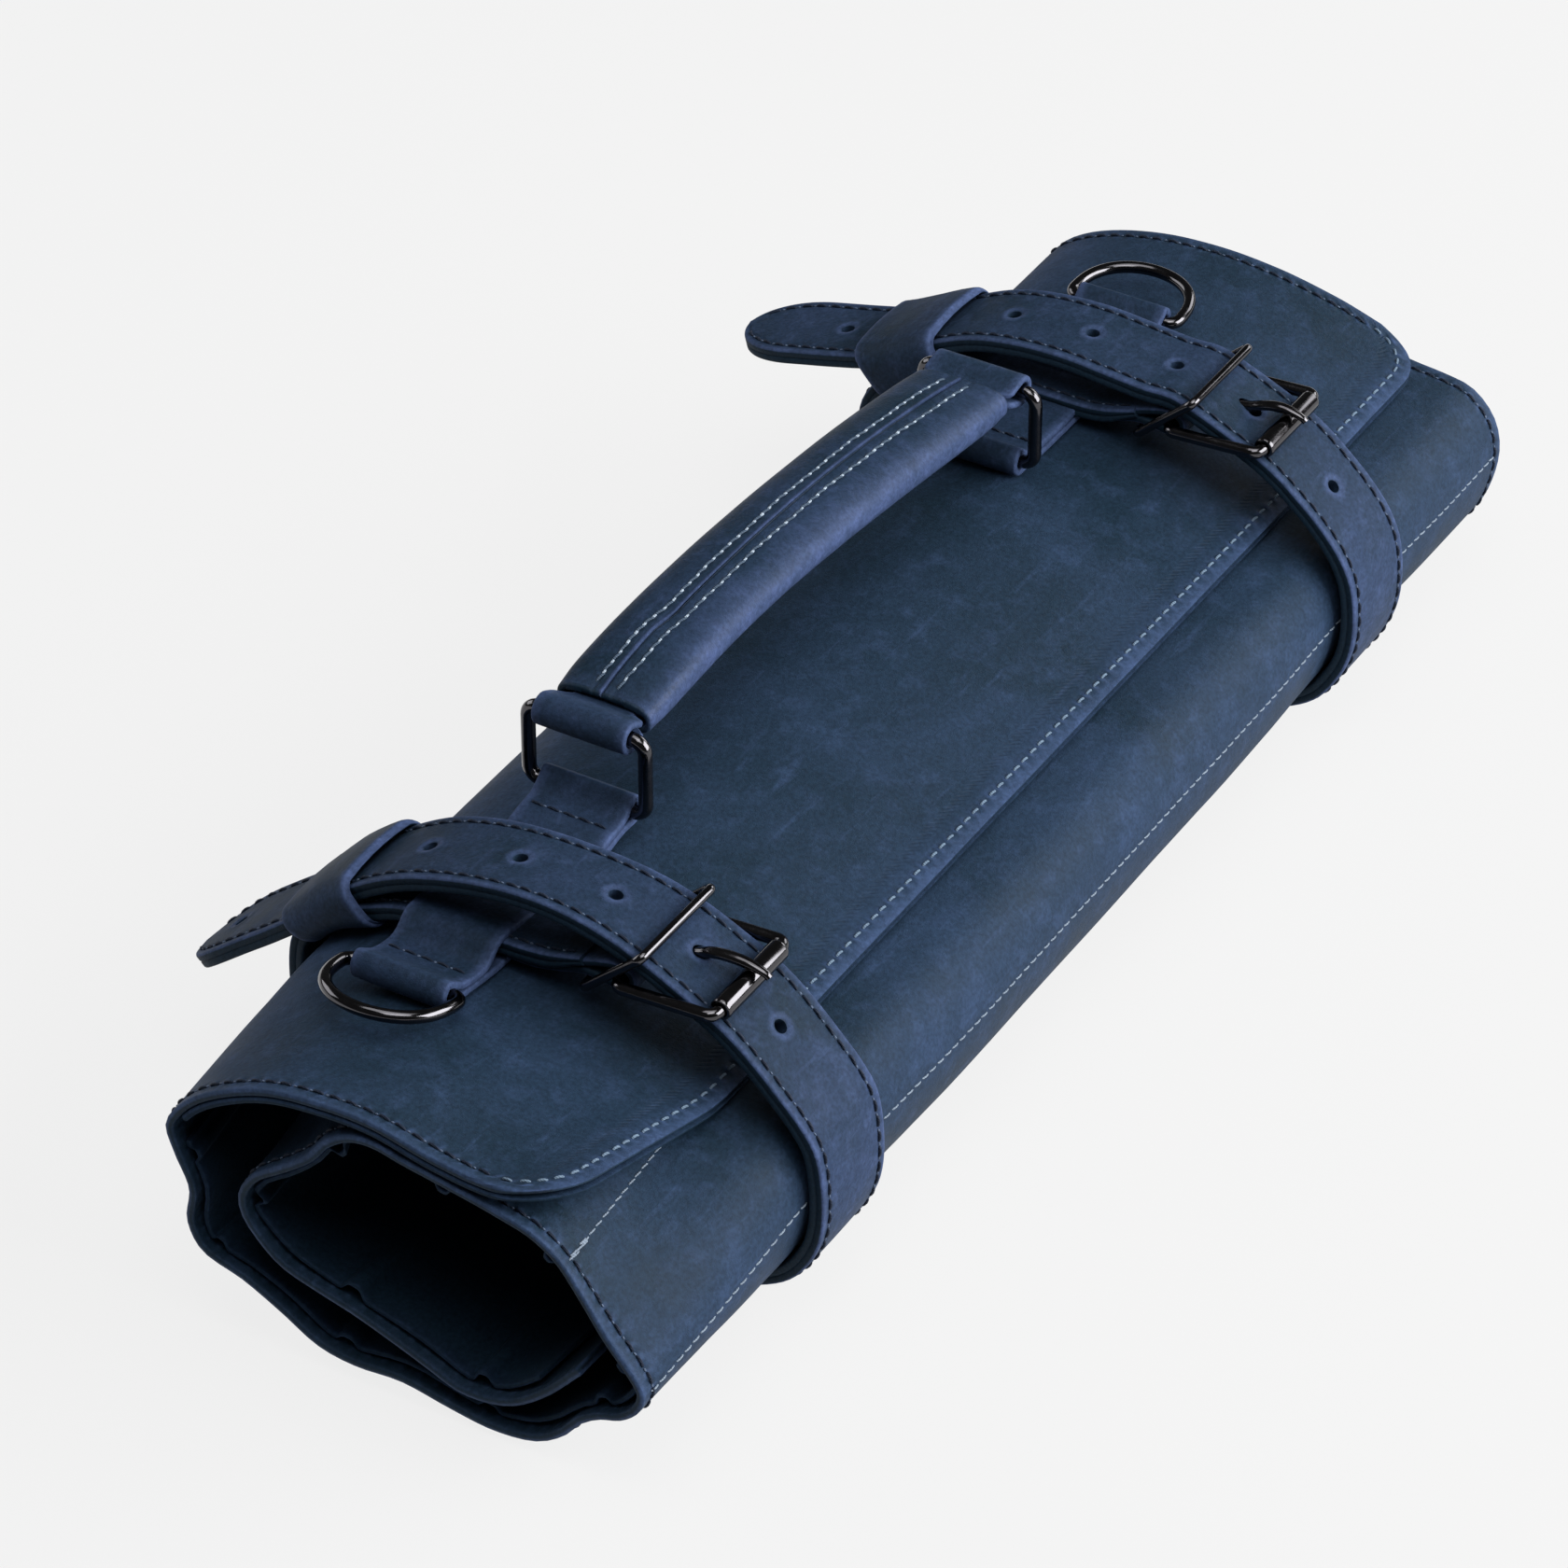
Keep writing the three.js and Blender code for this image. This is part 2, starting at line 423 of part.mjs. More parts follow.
// Leather keeper: a loop round the tongue and the belt at the back shoulder.
function keeper(b, side) {
  const { outer, inner, xc } = b;
  const nrm = b.nrm;
  const half = Math.round(outer.length / 2);
  const centre = side === 'near' ? [67.0, 70.5] : [64.6, 77.4];
  const span = 14;
  const grab = (pts, lo, hi, len, off) => {
    let best = lo;
    for (let i = lo; i < hi; i += 1) if (Math.hypot(pts[i][0] - centre[0], pts[i][1] - centre[1]) < Math.hypot(pts[best][0] - centre[0], pts[best][1] - centre[1])) best = i;
    // fine points along the polyline, each with its offset
    const fine = [];
    for (let i = Math.max(lo, best - 6); i < Math.min(hi, best + 6); i += 1) {
      for (let k = 0; k < 8; k += 1) {
        const q = k / 8;
        fine.push([pts[i][0] + q * (pts[i + 1][0] - pts[i][0]) + off * (nrm[i][0] + q * (nrm[i + 1][0] - nrm[i][0])),
          pts[i][1] + q * (pts[i + 1][1] - pts[i][1]) + off * (nrm[i][1] + q * (nrm[i + 1][1] - nrm[i][1]))]);
      }
    }
    let mid = 0;
    fine.forEach((p, i) => { if (Math.hypot(p[0] - centre[0], p[1] - centre[1]) < Math.hypot(fine[mid][0] - centre[0], fine[mid][1] - centre[1])) mid = i; });
    const walk = (dirn) => {
      const out = []; let d = 0, i = mid;
      while (d < len && i + dirn >= 0 && i + dirn < fine.length) { const p = fine[i], q = fine[i + dirn]; d += Math.hypot(p[0] - q[0], p[1] - q[1]); i += dirn; out.push(q); }
      return out;
    };
    const pts2 = [...walk(-1).reverse(), fine[mid], ...walk(1)];
    const keep = [];
    const m = 6;
    for (let k = 0; k <= m; k += 1) keep.push(pts2[Math.round(((pts2.length - 1) * k) / m)]);
    return keep;
  };
  // tongue outer runs from +Y to -Y; belt inner on the back runs up and over
  const topOut = grab(outer, 1, half, span, -GAP - 0.1 - KEEPER_T), topIn = grab(outer, 1, half, span + 5, -GAP - 0.1);
  const botOut = grab(inner, half, inner.length - 12, span - 3, GAP + 0.1 + KEEPER_IN), botIn = grab(inner, half, inner.length - 12, span + 3, GAP + 0.1);
  const shell = [...topOut, ...botOut.slice().reverse()];
  const room = [...topIn, ...botIn.slice().reverse()];
  const fix = (o) => (area(o) > 0 ? o : o.slice().reverse());
  const a = toSolid(prismX(fix(shell), xc - BELT_W / 2 - GAP - KEEPER_T, xc + BELT_W / 2 + GAP + KEEPER_T));
  const c = toSolid(prismX(fix(room), xc - BELT_W / 2 - GAP, xc + BELT_W / 2 + GAP));
  return fromSolid(a.subtract(c));
}

// ---------------------------------------------------------------- tabs, rings
function tab(side) {
  const [rx, ry, rz] = RING[side], [dx, , dz] = DRING[side];
  const r1 = WIRE_RING + GAP + LOOP_T, r2 = WIRE_D + GAP + LOOP_T;
  const under = TAB_UNDER[side];
  const left = side === 'near' ? [dx, dz, r2] : [rx, rz, r1];
  const right = side === 'near' ? [rx, rz, r1] : [dx, dz, r2];
  const arc = (c, a0, a1, n) => {
    const out = [];
    for (let i = 0; i <= n; i += 1) { const a = ((a0 + ((a1 - a0) * i) / n) * Math.PI) / 180; out.push([c[0] + c[2] * Math.cos(a), c[1] + c[2] * Math.sin(a)]); }
    return out;
  };
  const topOf = (x, z) => {
    const flat = WINDOW[1] + LOOP_T, two = z + 2 * LOOP_T + GAP;
    const inside = Math.abs(Math.abs(x) - BELT_X) < BELT_W / 2 + 1;
    return inside ? flat : two;
  };
  const upper = under.map(([x, z]) => [x, topOf(x, z)]).reverse();
  const outline = [...under, ...arc(right, -80, 80, 7), ...upper, ...arc(left, 100, 260, 7)];
  const win = [[-BELT_W / 2 - 0.7, WINDOW[0]], [BELT_W / 2 + 0.7, WINDOW[0]], [BELT_W / 2 + 0.7, WINDOW[1]], [-BELT_W / 2 - 0.7, WINDOW[1]]]
    .map(([x, z]) => [x + (side === 'near' ? -BELT_X : BELT_X), z]);
  let solid = toSolid(prismY(outline, ry, TAB_W));
  for (const h of [circle(rx, rz, WIRE_RING + GAP, 12), circle(dx, dz, WIRE_D + GAP, 12), win]) {
    solid = solid.subtract(toSolid(prismY(h, ry, TAB_W + 2)));
  }
  return fromSolid(solid);
}

function handleRing(side) {
  const [x, y, z] = RING[side];
  const loop = roundedLoop(RING_W, LINK_H, RING_CORNER, RING_CORNER, 4).map(([u, v]) => v3(x, y + u, z + v));
  return wire(loop, v3(1, 0, 0), WIRE_RING, 8);
}

function dRing(side) {
  const [x, y, z, zt] = DRING[side], out = side === 'near' ? -1 : 1;
  const pts = [], n = 12, r = 3;
  for (let i = 0; i <= n; i += 1) {
    const a = (Math.PI * i) / n;
    pts.push([(D_W / 2) * Math.cos(a), r + (D_REACH - r) * Math.sin(a) ** 0.8]);
  }
  pts.push([-D_W / 2 + r * 0.3, r * 0.3], [-D_W / 2 + r, 0], [D_W / 2 - r, 0], [D_W / 2 - r * 0.3, r * 0.3]);
  const dir = v3(out * D_REACH, 0, zt - z).normalize();
  const loop = pts.map(([u, v]) => v3(x, y + u, z).addScaledVector(dir, v));
  return wire(loop, v3(0, 1, 0).cross(dir), WIRE_D, 8);
}

// ---------------------------------------------------------------- handle
const sleeveCentre = (x) => {
  let i = 0;
  while (i < SLEEVE.length - 2 && SLEEVE[i + 1][0] < x) i += 1;
  const a = SLEEVE[i], b = SLEEVE[i + 1], q = (x - a[0]) / (b[0] - a[0]);
  return a[1] + q * (b[1] - a[1]);
};
const handleY = (x) => RING.near[1] + ((RING.far[1] - RING.near[1]) * (x - RING.near[0])) / (RING.far[0] - RING.near[0]);

function lean(geometry) {
  const p = geometry.attributes.position;
  for (let i = 0; i < p.count; i += 1) p.setY(i, p.getY(i) + handleY(p.getX(i)));
  return geometry;
}

function sleeve() {
  const ns = SLEEVE.length, n = SLEEVE_SIDES, pos = [], idx = [];
  for (const wall of [0, SLEEVE_T]) {
    for (const [x, z, w, t] of SLEEVE) {
      for (let k = 0; k < n; k += 1) {
        const a = (2 * Math.PI * k) / n, c = Math.cos(a), q = Math.sin(a);
        const e = 2 / (2.3 + 0.7 * Math.abs(x / 88) ** 2);   // fuller corners towards the pressed ends
        pos.push(x, (w - wall) * Math.sign(c) * Math.abs(c) ** e, z + (t - wall) * Math.sign(q) * Math.abs(q) ** e);
      }
    }
  }
  const at = (f, s, k) => f * ns * n + s * n + (k % n);
  const quad = (a, b, c, d) => idx.push(a, b, c, a, c, d);
  for (let k = 0; k < n; k += 1) {
    for (let s = 0; s < ns - 1; s += 1) {
      quad(at(0, s, k), at(0, s, k + 1), at(0, s + 1, k + 1), at(0, s + 1, k));
      quad(at(1, s, k), at(1, s + 1, k), at(1, s + 1, k + 1), at(1, s, k + 1));
    }
    quad(at(0, 0, k), at(1, 0, k), at(1, 0, k + 1), at(0, 0, k + 1));
    quad(at(0, ns - 1, k), at(0, ns - 1, k + 1), at(1, ns - 1, k + 1), at(1, ns - 1, k));
  }
  const flip = idx.reduce((o, _, i) => (i % 3 ? o : o.concat(idx[i], idx[i + 2], idx[i + 1])), []);
  const g = indexed(pos, idx);
  return lean(toSolid(g).volume() > 0 ? g : indexed(pos, flip));
}

function core() {
  const a = [RING.near[0], RING.near[2] + LINK_H], b = [RING.far[0], RING.far[2] + LINK_H];
  const R = WIRE_RING + GAP + LOOP_T, h = CORE_T / 2;
  const line = [-87, -80, -66, -46, -22, 0, 24, 48, 67, 80, 87].map((x) => [x, sleeveCentre(x)]);
  const up = line.map(([x, z]) => [x, z + h]), dn = line.map(([x, z]) => [x, z - h]);
  const arc = (c, a0, a1, n) => {
    const out = [];
    for (let i = 0; i <= n; i += 1) { const q = ((a0 + ((a1 - a0) * i) / n) * Math.PI) / 180; out.push([c[0] + R * Math.cos(q), c[1] + R * Math.sin(q)]); }
    return out;
  };
  const outline = [...dn, ...arc(b, -75, 100, 8), ...up.slice().reverse(), ...arc(a, 80, 280, 8)];
  const holes = [circle(a[0], a[1], WIRE_RING + GAP, 12), circle(b[0], b[1], WIRE_RING + GAP, 12)];
  const solid = toSolid(prismY(outline, 0, HANDLE_W, holes));
  const plan = new THREE.Shape([[-110, -HANDLE_W / 2 - 1], [-90.5, -HANDLE_W / 2 - 1], [-88.6, -CORE_W / 2], [88.6, -CORE_W / 2], [90.5, -HANDLE_W / 2 - 1], [110, -HANDLE_W / 2 - 1],
    [110, HANDLE_W / 2 + 1], [90.5, HANDLE_W / 2 + 1], [88.6, CORE_W / 2], [-88.6, CORE_W / 2], [-90.5, HANDLE_W / 2 + 1], [-110, HANDLE_W / 2 + 1]].map(([x, y]) => new THREE.Vector2(x, y)));
  const g = new THREE.ExtrudeGeometry(plan, { depth: 60, bevelEnabled: false });
  g.translate(0, 0, 70);
  return lean(fromSolid(solid.intersect(toSolid(g))));
}

// ---------------------------------------------------------------- buckle
function frame(xc) {
  const dir = v3(0, FRONT[0] - BAR[0], FRONT[1] - BAR[1]);
  const h = dir.length();
  dir.normalize();
  const loop = roundedLoop(FRAME_W, h, 2.6, 2.6, 3).map(([u, v]) => v3(xc + u, BAR[0], BAR[1]).addScaledVector(dir, v));
  return wire(loop, v3(1, 0, 0).cross(dir), WIRE_FRAME, 8);
}

function roller(xc) {
  const p = [[ROLLER_BORE, -ROLLER_L / 2], [ROLLER_R, -ROLLER_L / 2], [ROLLER_R, ROLLER_L / 2], [ROLLER_BORE, ROLLER_L / 2], [ROLLER_BORE, -ROLLER_L / 2]];
  const g = new THREE.LatheGeometry(p.map(([a, b]) => new THREE.Vector2(a, b)), 16);
  g.rotateZ(-Math.PI / 2);
  g.translate(xc, FRONT[0], FRONT[1]);
  return g;
}

function metalKeeper(xc, top) {
  const bot = LOOPER_BOT;
  const dir = v3(0, top[0] - bot[0], top[1] - bot[1]);
  const h = dir.length();
  dir.normalize();
  const w = BELT_W + 2 * (GAP + 0.05) + 2 * WIRE_KEEPER;
  const loop = roundedLoop(w, h, 1.9, 1.9, 2).map(([u, v]) => v3(xc + u, bot[0], bot[1]).addScaledVector(dir, v));
  return wire(loop, v3(1, 0, 0).cross(dir), WIRE_KEEPER, 8);
}

// ---------------------------------------------------------------- assembly
const leather = (color, roughness = 0.62) => new THREE.MeshStandardMaterial({ color, roughness, metalness: 0 });
const steel = () => new THREE.MeshStandardMaterial({ color: 0x55565a, roughness: 0.22, metalness: 1 });

const body = new THREE.Group();
const add = (name, geometry, material) => {
  const m = new THREE.Mesh(geometry, material);
  m.name = name;
  body.add(m);
  return m;
};

const lastPoint = midPts.length - 1;
add('cover', layer(STATIONS, 0, COVER_T, 0, lastPoint, true), leather(0x2b3f5c));
add('flap_lining', layer(STATIONS, COVER_T + GAP, COVER_T + GAP + LINING_T, 0, 10, true), leather(0x31466a, 0.7));
const pleat = (x, s) => {
  const fade = Math.max(0, 1 - (x - PANEL_X[0]) / 26);
  const deep = s > 560 ? 1 : 0.3;
  return fade * deep * PLEAT_H * 0.5 * (1 - Math.cos((2 * Math.PI * s) / PLEAT));
};
add('pocket_panel', layer(PANEL_X, COVER_T + GAP, COVER_T + GAP + PANEL_T, foldEnd.flap + 1, lastPoint - 1, false, pleat), leather(0x2a3c58, 0.7));

for (const side of ['near', 'far']) {
  const xc = side === 'near' ? -BELT_X : BELT_X;
  const b = belt(side);
  add(`strap_${side}`, fromSolid(b.solid), leather(0x2a3d5a));
  add(`keeper_${side}`, keeper(b, side), leather(0x2d4160));
  add(`buckle_frame_${side}`, frame(xc), steel());
  add(`buckle_roller_${side}`, roller(xc), steel());
  add(`buckle_prong_${side}`, prongSolid(xc, 0), steel());
  add(`metal_keeper_${side}`, metalKeeper(xc, LOOPER_TOP[side]), steel());
  add(`anchor_tab_${side}`, tab(side), leather(0x2c405e));
  add(`handle_ring_${side}`, handleRing(side), steel());
  add(`d_ring_${side}`, dRing(side), steel());
}
add('handle_strap', core(), leather(0x26374f));
add('handle_grip', sleeve(), leather(0x304767, 0.55));

// Set the lowest face on z = 0 and the footprint's centre on x = y = 0.
body.updateMatrixWorld(true);
const box = new THREE.Box3().setFromObject(body);
body.position.set(-(box.min.x + box.max.x) / 2, -(box.min.y + box.max.y) / 2, RAISE);

const roll = new THREE.Group();
roll.add(body);

export default roll;
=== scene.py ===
import math
import bpy
import numpy as np
from mathutils import Vector, Matrix

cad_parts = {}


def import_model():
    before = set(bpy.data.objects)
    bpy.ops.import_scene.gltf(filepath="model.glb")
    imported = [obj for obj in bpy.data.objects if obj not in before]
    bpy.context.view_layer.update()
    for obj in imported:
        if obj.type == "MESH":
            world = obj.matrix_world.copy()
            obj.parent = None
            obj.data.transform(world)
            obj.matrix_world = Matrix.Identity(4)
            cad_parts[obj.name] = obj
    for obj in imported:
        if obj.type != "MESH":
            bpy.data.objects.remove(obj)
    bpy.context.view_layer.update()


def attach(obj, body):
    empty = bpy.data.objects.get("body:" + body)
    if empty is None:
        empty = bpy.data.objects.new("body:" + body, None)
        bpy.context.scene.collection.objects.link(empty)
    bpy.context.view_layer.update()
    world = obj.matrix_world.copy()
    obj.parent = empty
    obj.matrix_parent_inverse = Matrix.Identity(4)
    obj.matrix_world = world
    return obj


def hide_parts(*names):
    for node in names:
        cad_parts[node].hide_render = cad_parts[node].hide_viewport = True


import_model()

# ------------------------------------------------------------------ frame
# The tables below are in millimetres before the model is set on its origin.
SHIFT_Y = -21.0968515
RAISE = 4.8
MM = 0.001


def world(x, y, z):
    return ((x) * MM, (y + SHIFT_Y) * MM, (z + RAISE) * MM)


# ------------------------------------------------------------------ tables
NEAR_END = {
    "flap": [[-48, 78.3], [-29.8, 75.3], [-14.3, 76.6], [1.3, 79.9], [17.2, 79.8], [33.4, 77.1], [50, 69], [58.7, 61.6], [63.1, 53.9]],
    "back": [[61.1, 46], [57.3, 36.3], [58.6, 25.5], [54.8, 17.6]],
    "bottom": [[42.5, 13], [31.9, 7.6], [21.3, 1.5], [10.4, -0.2], [-3.2, 0.9], [-16.6, -1.4], [-30, -2.8], [-42, -0.6], [-49.7, 4.9], [-54.6, 11], [-59.5, 14.6]],
    "front": [[-66, 17.4], [-71, 22.4], [-72.4, 28]],
    "top2": [[-69, 34], [-63, 41.5], [-56.3, 51.9], [-50.1, 60.2], [-42.5, 65.4], [-32.2, 68], [-19.3, 70.4], [-6.3, 72.6], [2, 74.2], [9.5, 73]],
    "back2": [[16.4, 68.2], [20.8, 62.3], [29.2, 55.2], [38.6, 48.1], [42.7, 40.6], [42, 34.4], [37.6, 28.1], [31.1, 22.5], [20.3, 19]],
    "bottom2": [[9.6, 16.2], [-1, 12.5], [-11.6, 8.3], [-19.5, 5.2], [-27.5, 5.2], [-35.2, 7.6], [-44.7, 15], [-55.2, 26.9]],
}
MIDDLE = {
    "flap": [[-51, 59.3], [-43.8, 60.3], [-34.7, 63], [-19.6, 67.5], [-1.5, 71], [19.5, 72.2], [40.6, 69.8], [59, 63.6], [68.7, 56]],
    "back": [[72.3, 45], [71.5, 32], [67.6, 19], [58, 8.5]],
    "bottom": [[45, 2.9], [32, 0.7], [16, 0], [0, 0], [-16, 0], [-34, 0.2], [-47, 1.9], [-59, 6.8]],
    "front": [[-67.4, 14], [-71.8, 25], [-73, 36]],
    "top2": [[-70.6, 44.5], [-64, 51.2], [-55, 53.5], [-44, 54.8], [-34.5, 57.4], [-19.5, 62.1], [-1.5, 65.6], [18, 66.6], [36, 63.6]],
    "back2": [[48, 57], [54.3, 47.5], [54, 37], [49, 26], [38, 15.8], [22, 9.8]],
    "bottom2": [[2, 7.2], [-18, 6.4], [-36, 7.8], [-48, 13.6], [-56, 24]],
}
FOLDS = ["flap", "back", "bottom", "front", "top2", "back2", "bottom2"]
LENGTH, COVER_T, LINING_T, PANEL_T, GAP = 460.0, 2.2, 1.8, 1.4, 0.3
FLAP_R = 18.0
OPEN_FROM = -160.0
BELT_W, BELT_T, BELT_X = 30.0, 4.4, 141.6
BELTS = {
    "near": {
        "tongue": [[113.5, 31.2], [104, 40.4], [94, 48.6], [84, 56.4], [75, 64], [66.8, 72.4], [56, 81.2], [43, 88.6], [27, 93.6], [10, 95.8], [-6, 95.4], [-19, 93], [-29.5, 89.2], [-38, 85.2], [-46, 81.2], [-53, 76.6], [-59.5, 71], [-66, 64.4], [-72.2, 57.6], [-76.6, 50]],
        "back": [[76.5, 55.7], [72.3, 63.4], [64.2, 70.5], [53, 75.6], [46.5, 78.4], [41, 79.7], [28, 79.8], [14, 79.8], [7, 79.8], [0, 80.6], [-7, 82.6], [-13.5, 85], [-18.2, 86.2]],
        "holes": [102, 83, 42.7, 16.3, -11, -57.6],
    },
    "far": {
        "tongue": [[121, 61.6], [110, 64.4], [98, 67.4], [86, 70.4], [75, 73.6], [66, 78], [56, 83.6], [43, 89.6], [30, 92.6], [14, 93.6], [0, 92.6], [-12, 91.6], [-21, 91.6], [-29.5, 88.8], [-38, 85.2], [-46, 81.6], [-53.5, 77.2], [-60.5, 71.6], [-68, 64.6], [-74.4, 56.6], [-78.4, 47]],
        "back": [[76.6, 56], [72.8, 64], [65, 71], [54, 76], [47, 78.5], [41, 79.7], [28, 79.8], [14, 79.8], [7, 79.8], [0, 80.6], [-7, 82.6], [-13.5, 85], [-18.2, 86.2]],
        "holes": [89, 35.6, 11.1, -14.8, -63.6],
    },
}
FOLD_UNDER = [[-17.6, 77.9], [-14.5, 78.8], [-11.4, 79.2], [-8.4, 78.8], [-3, 77.1]]
BAR, FRONT = [-21, 82], [-48.8, 83.7]
PRONG = [[-20.5, 84.85], [-26, 86.2], [-34, 87.1], [-42, 88], [-48.6, 88.35], [-53.6, 87.2]]
LOOPER_TOP = {"near": [-28.4, 92.9], "far": [-28.4, 92.8]}
LOOPER_BOT = [-11.4, 77.3]
SLEEVE = [
    [-88, 102.8, 15.0, 5.2], [-80, 103.0, 15.4, 5.9], [-66, 103.6, 15.6, 7.3], [-46, 104.5, 15.6, 8.0],
    [-22, 103.9, 15.6, 8.2], [0, 102.6, 15.6, 8.2], [24, 100.9, 15.6, 8.1], [48, 99.0, 15.6, 7.7],
    [67, 97.5, 15.5, 6.9], [80, 96.9, 15.2, 5.8], [88, 97.2, 14.9, 5.2],
]
RING = {"near": [-96, 26, 81.6], "far": [97, 22, 77.8]}
DRING = {"near": [-179, 26, 79.6, 84.2], "far": [179, 22, 77.4, 78.6]}
LINK_H = 22.4
TAB_UNDER = {
    "near": [[-173, 75.0], [-164, 73.6], [-157.4, 72.8], [-125.6, 72.8], [-118, 73.4], [-108, 75.8], [-100.5, 77.3]],
    "far": [[102.5, 73.3], [110, 72.9], [125.6, 72.8], [157.4, 72.8], [166, 72.9], [173.5, 73.0]],
}
rng = np.random.default_rng(7)


# ------------------------------------------------------------------ curves
def catmull(rows, per=24, closed=False):
    """Centripetal spline through rows, as a dense polyline."""
    P = np.array(rows, float)
    n = len(P)
    out = []
    segs = n if closed else n - 1
    for i in range(segs):
        if closed:
            p0, p1, p2, p3 = P[(i - 1) % n], P[i], P[(i + 1) % n], P[(i + 2) % n]
        else:
            p1, p2 = P[i], P[i + 1]
            p0 = P[i - 1] if i > 0 else 2 * p1 - p2
            p3 = P[i + 2] if i + 2 < n else 2 * p2 - p1
        d0 = max(np.linalg.norm(p1 - p0) ** 0.5, 1e-6)
        d1 = max(np.linalg.norm(p2 - p1) ** 0.5, 1e-6)
        d2 = max(np.linalg.norm(p3 - p2) ** 0.5, 1e-6)
        m1 = ((p1 - p0) / d0 - (p2 - p0) / (d0 + d1) + (p2 - p1) / d1) * d1
        m2 = ((p2 - p1) / d1 - (p3 - p1) / (d1 + d2) + (p3 - p2) / d2) * d1
        t = np.linspace(0, 1, per, endpoint=False)[:, None]
        out.append((2 * t**3 - 3 * t**2 + 1) * p1 + (t**3 - 2 * t**2 + t) * m1 + (-2 * t**3 + 3 * t**2) * p2 + (t**3 - t**2) * m2)
    pts = np.vstack(out)
    if not closed:
        pts = np.vstack([pts, P[-1:]])
    return pts


def arclen(P):
    return np.concatenate([[0], np.cumsum(np.linalg.norm(np.diff(P, axis=0), axis=1))])


def at_len(P, s):
    """Points of polyline P at arc lengths s."""
    L = arclen(P)
    s = np.clip(s, 0, L[-1])
    return np.stack([np.interp(s, L, P[:, k]) for k in range(P.shape[1])], axis=1)


def tangents(P, closed=False):
    if closed:
        T = np.roll(P, -1, axis=0) - np.roll(P, 1, axis=0)
    else:
        T = np.gradient(P, axis=0)
    return T / np.maximum(np.linalg.norm(T, axis=1, keepdims=True), 1e-9)


def smoothstep(a, b, x):
    t = np.clip((np.asarray(x, float) - a) / (b - a), 0, 1)
    return t * t * (3 - 2 * t)


# ------------------------------------------------------------------ meshes
def make_mesh(name, verts, faces, material=None, smooth=True, angle=38, attrs=None):
    """verts in metres."""
    me = bpy.data.meshes.new(name)
    me.from_pydata([tuple(map(float, v)) for v in verts], [], [tuple(int(i) for i in f) for f in faces])
    me.validate()
    me.update()
    if attrs:
        for key, vals in attrs.items():
            a = me.attributes.new(key, "FLOAT", "POINT")
            a.data.foreach_set("value", np.asarray(vals, np.float32))
    ob = bpy.data.objects.new(name, me)
    bpy.context.scene.collection.objects.link(ob)
    if smooth:
        me.polygons.foreach_set("use_smooth", [True] * len(me.polygons))
        me.set_sharp_from_angle(angle=math.radians(angle))
    if material:
        me.materials.append(material)
    return ob


def fix_normals(ob):
    import bmesh
    bm = bmesh.new()
    bm.from_mesh(ob.data)
    bmesh.ops.recalc_face_normals(bm, faces=bm.faces)
    bm.to_mesh(ob.data)
    bm.free()
    ob.data.update()


class Soup:
    """Collects several closed shells into one mesh."""

    def __init__(self):
        self.v, self.f, self.n, self.a = [], [], 0, []

    def add(self, verts, faces, attr=None):
        verts = np.asarray(verts, float)
        self.v.append(verts)
        self.f.extend([tuple(i + self.n for i in f) for f in faces])
        self.a.append(np.full(len(verts), 0.0) if attr is None else np.broadcast_to(np.asarray(attr, float), (len(verts),)))
        self.n += len(verts)

    def build(self, name, material, smooth=True, angle=38, key="wear_and_painted_light"):
        return make_mesh(name, np.vstack(self.v), self.f, material, smooth, angle, {key: np.concatenate(self.a)})


def tube_faces(n_rings, sides, closed):
    faces = []
    for i in range(n_rings if closed else n_rings - 1):
        j = (i + 1) % n_rings
        for k in range(sides):
            m = (k + 1) % sides
            faces.append((i * sides + k, i * sides + m, j * sides + m, j * sides + k))
    if not closed:
        faces.append(tuple(range(sides))[::-1])
        faces.append(tuple((n_rings - 1) * sides + k for k in range(sides)))
    return faces


def sweep(path, radius, sides=16, closed=False, up=(0, 0, 1), section=None):
    """Tube along a 3-D path (mm). radius may be an array. section scales (side, up)."""
    P = np.asarray(path, float)
    n = len(P)
    T = tangents(P, closed)
    R = np.broadcast_to(np.asarray(radius, float), (n,))
    up = np.asarray(up, float)
    U = up - (T @ up)[:, None] * T
    U /= np.maximum(np.linalg.norm(U, axis=1, keepdims=True), 1e-9)
    W = np.cross(T, U)
    a = np.linspace(0, 2 * np.pi, sides, endpoint=False)
    ca, sa = np.cos(a), np.sin(a)
    sx, sy = section if section is not None else (1.0, 1.0)
    V = P[:, None, :] + R[:, None, None] * (sx * ca[None, :, None] * W[:, None, :] + sy * sa[None, :, None] * U[:, None, :])
    return V.reshape(-1, 3), tube_faces(n, sides, closed)


def grid_faces(nr, nc, wrap_c=False, wrap_r=False):
    faces = []
    for i in range(nr if wrap_r else nr - 1):
        i2 = (i + 1) % nr
        for j in range(nc if wrap_c else nc - 1):
            j2 = (j + 1) % nc
            faces.append((i * nc + j, i * nc + j2, i2 * nc + j2, i2 * nc + j))
    return faces


def to_world(V):
    V = np.asarray(V, float)
    return np.stack([V[:, 0] * MM, (V[:, 1] + SHIFT_Y) * MM, (V[:, 2] + RAISE) * MM], axis=1)


# ------------------------------------------------------------------ noise
def value_noise(shape_seed):
    r = np.random.default_rng(shape_seed)
    K = [(r.normal(size=3), r.uniform(0, 2 * np.pi)) for _ in range(14)]

    def f(P, scale):
        s = 0
        for k, ph in K:
            s = s + np.sin(P @ (k * scale) + ph)
        return s / 14 * 2.2
    return f


soft_noise = value_noise(11)
soft_noise2 = value_noise(23)

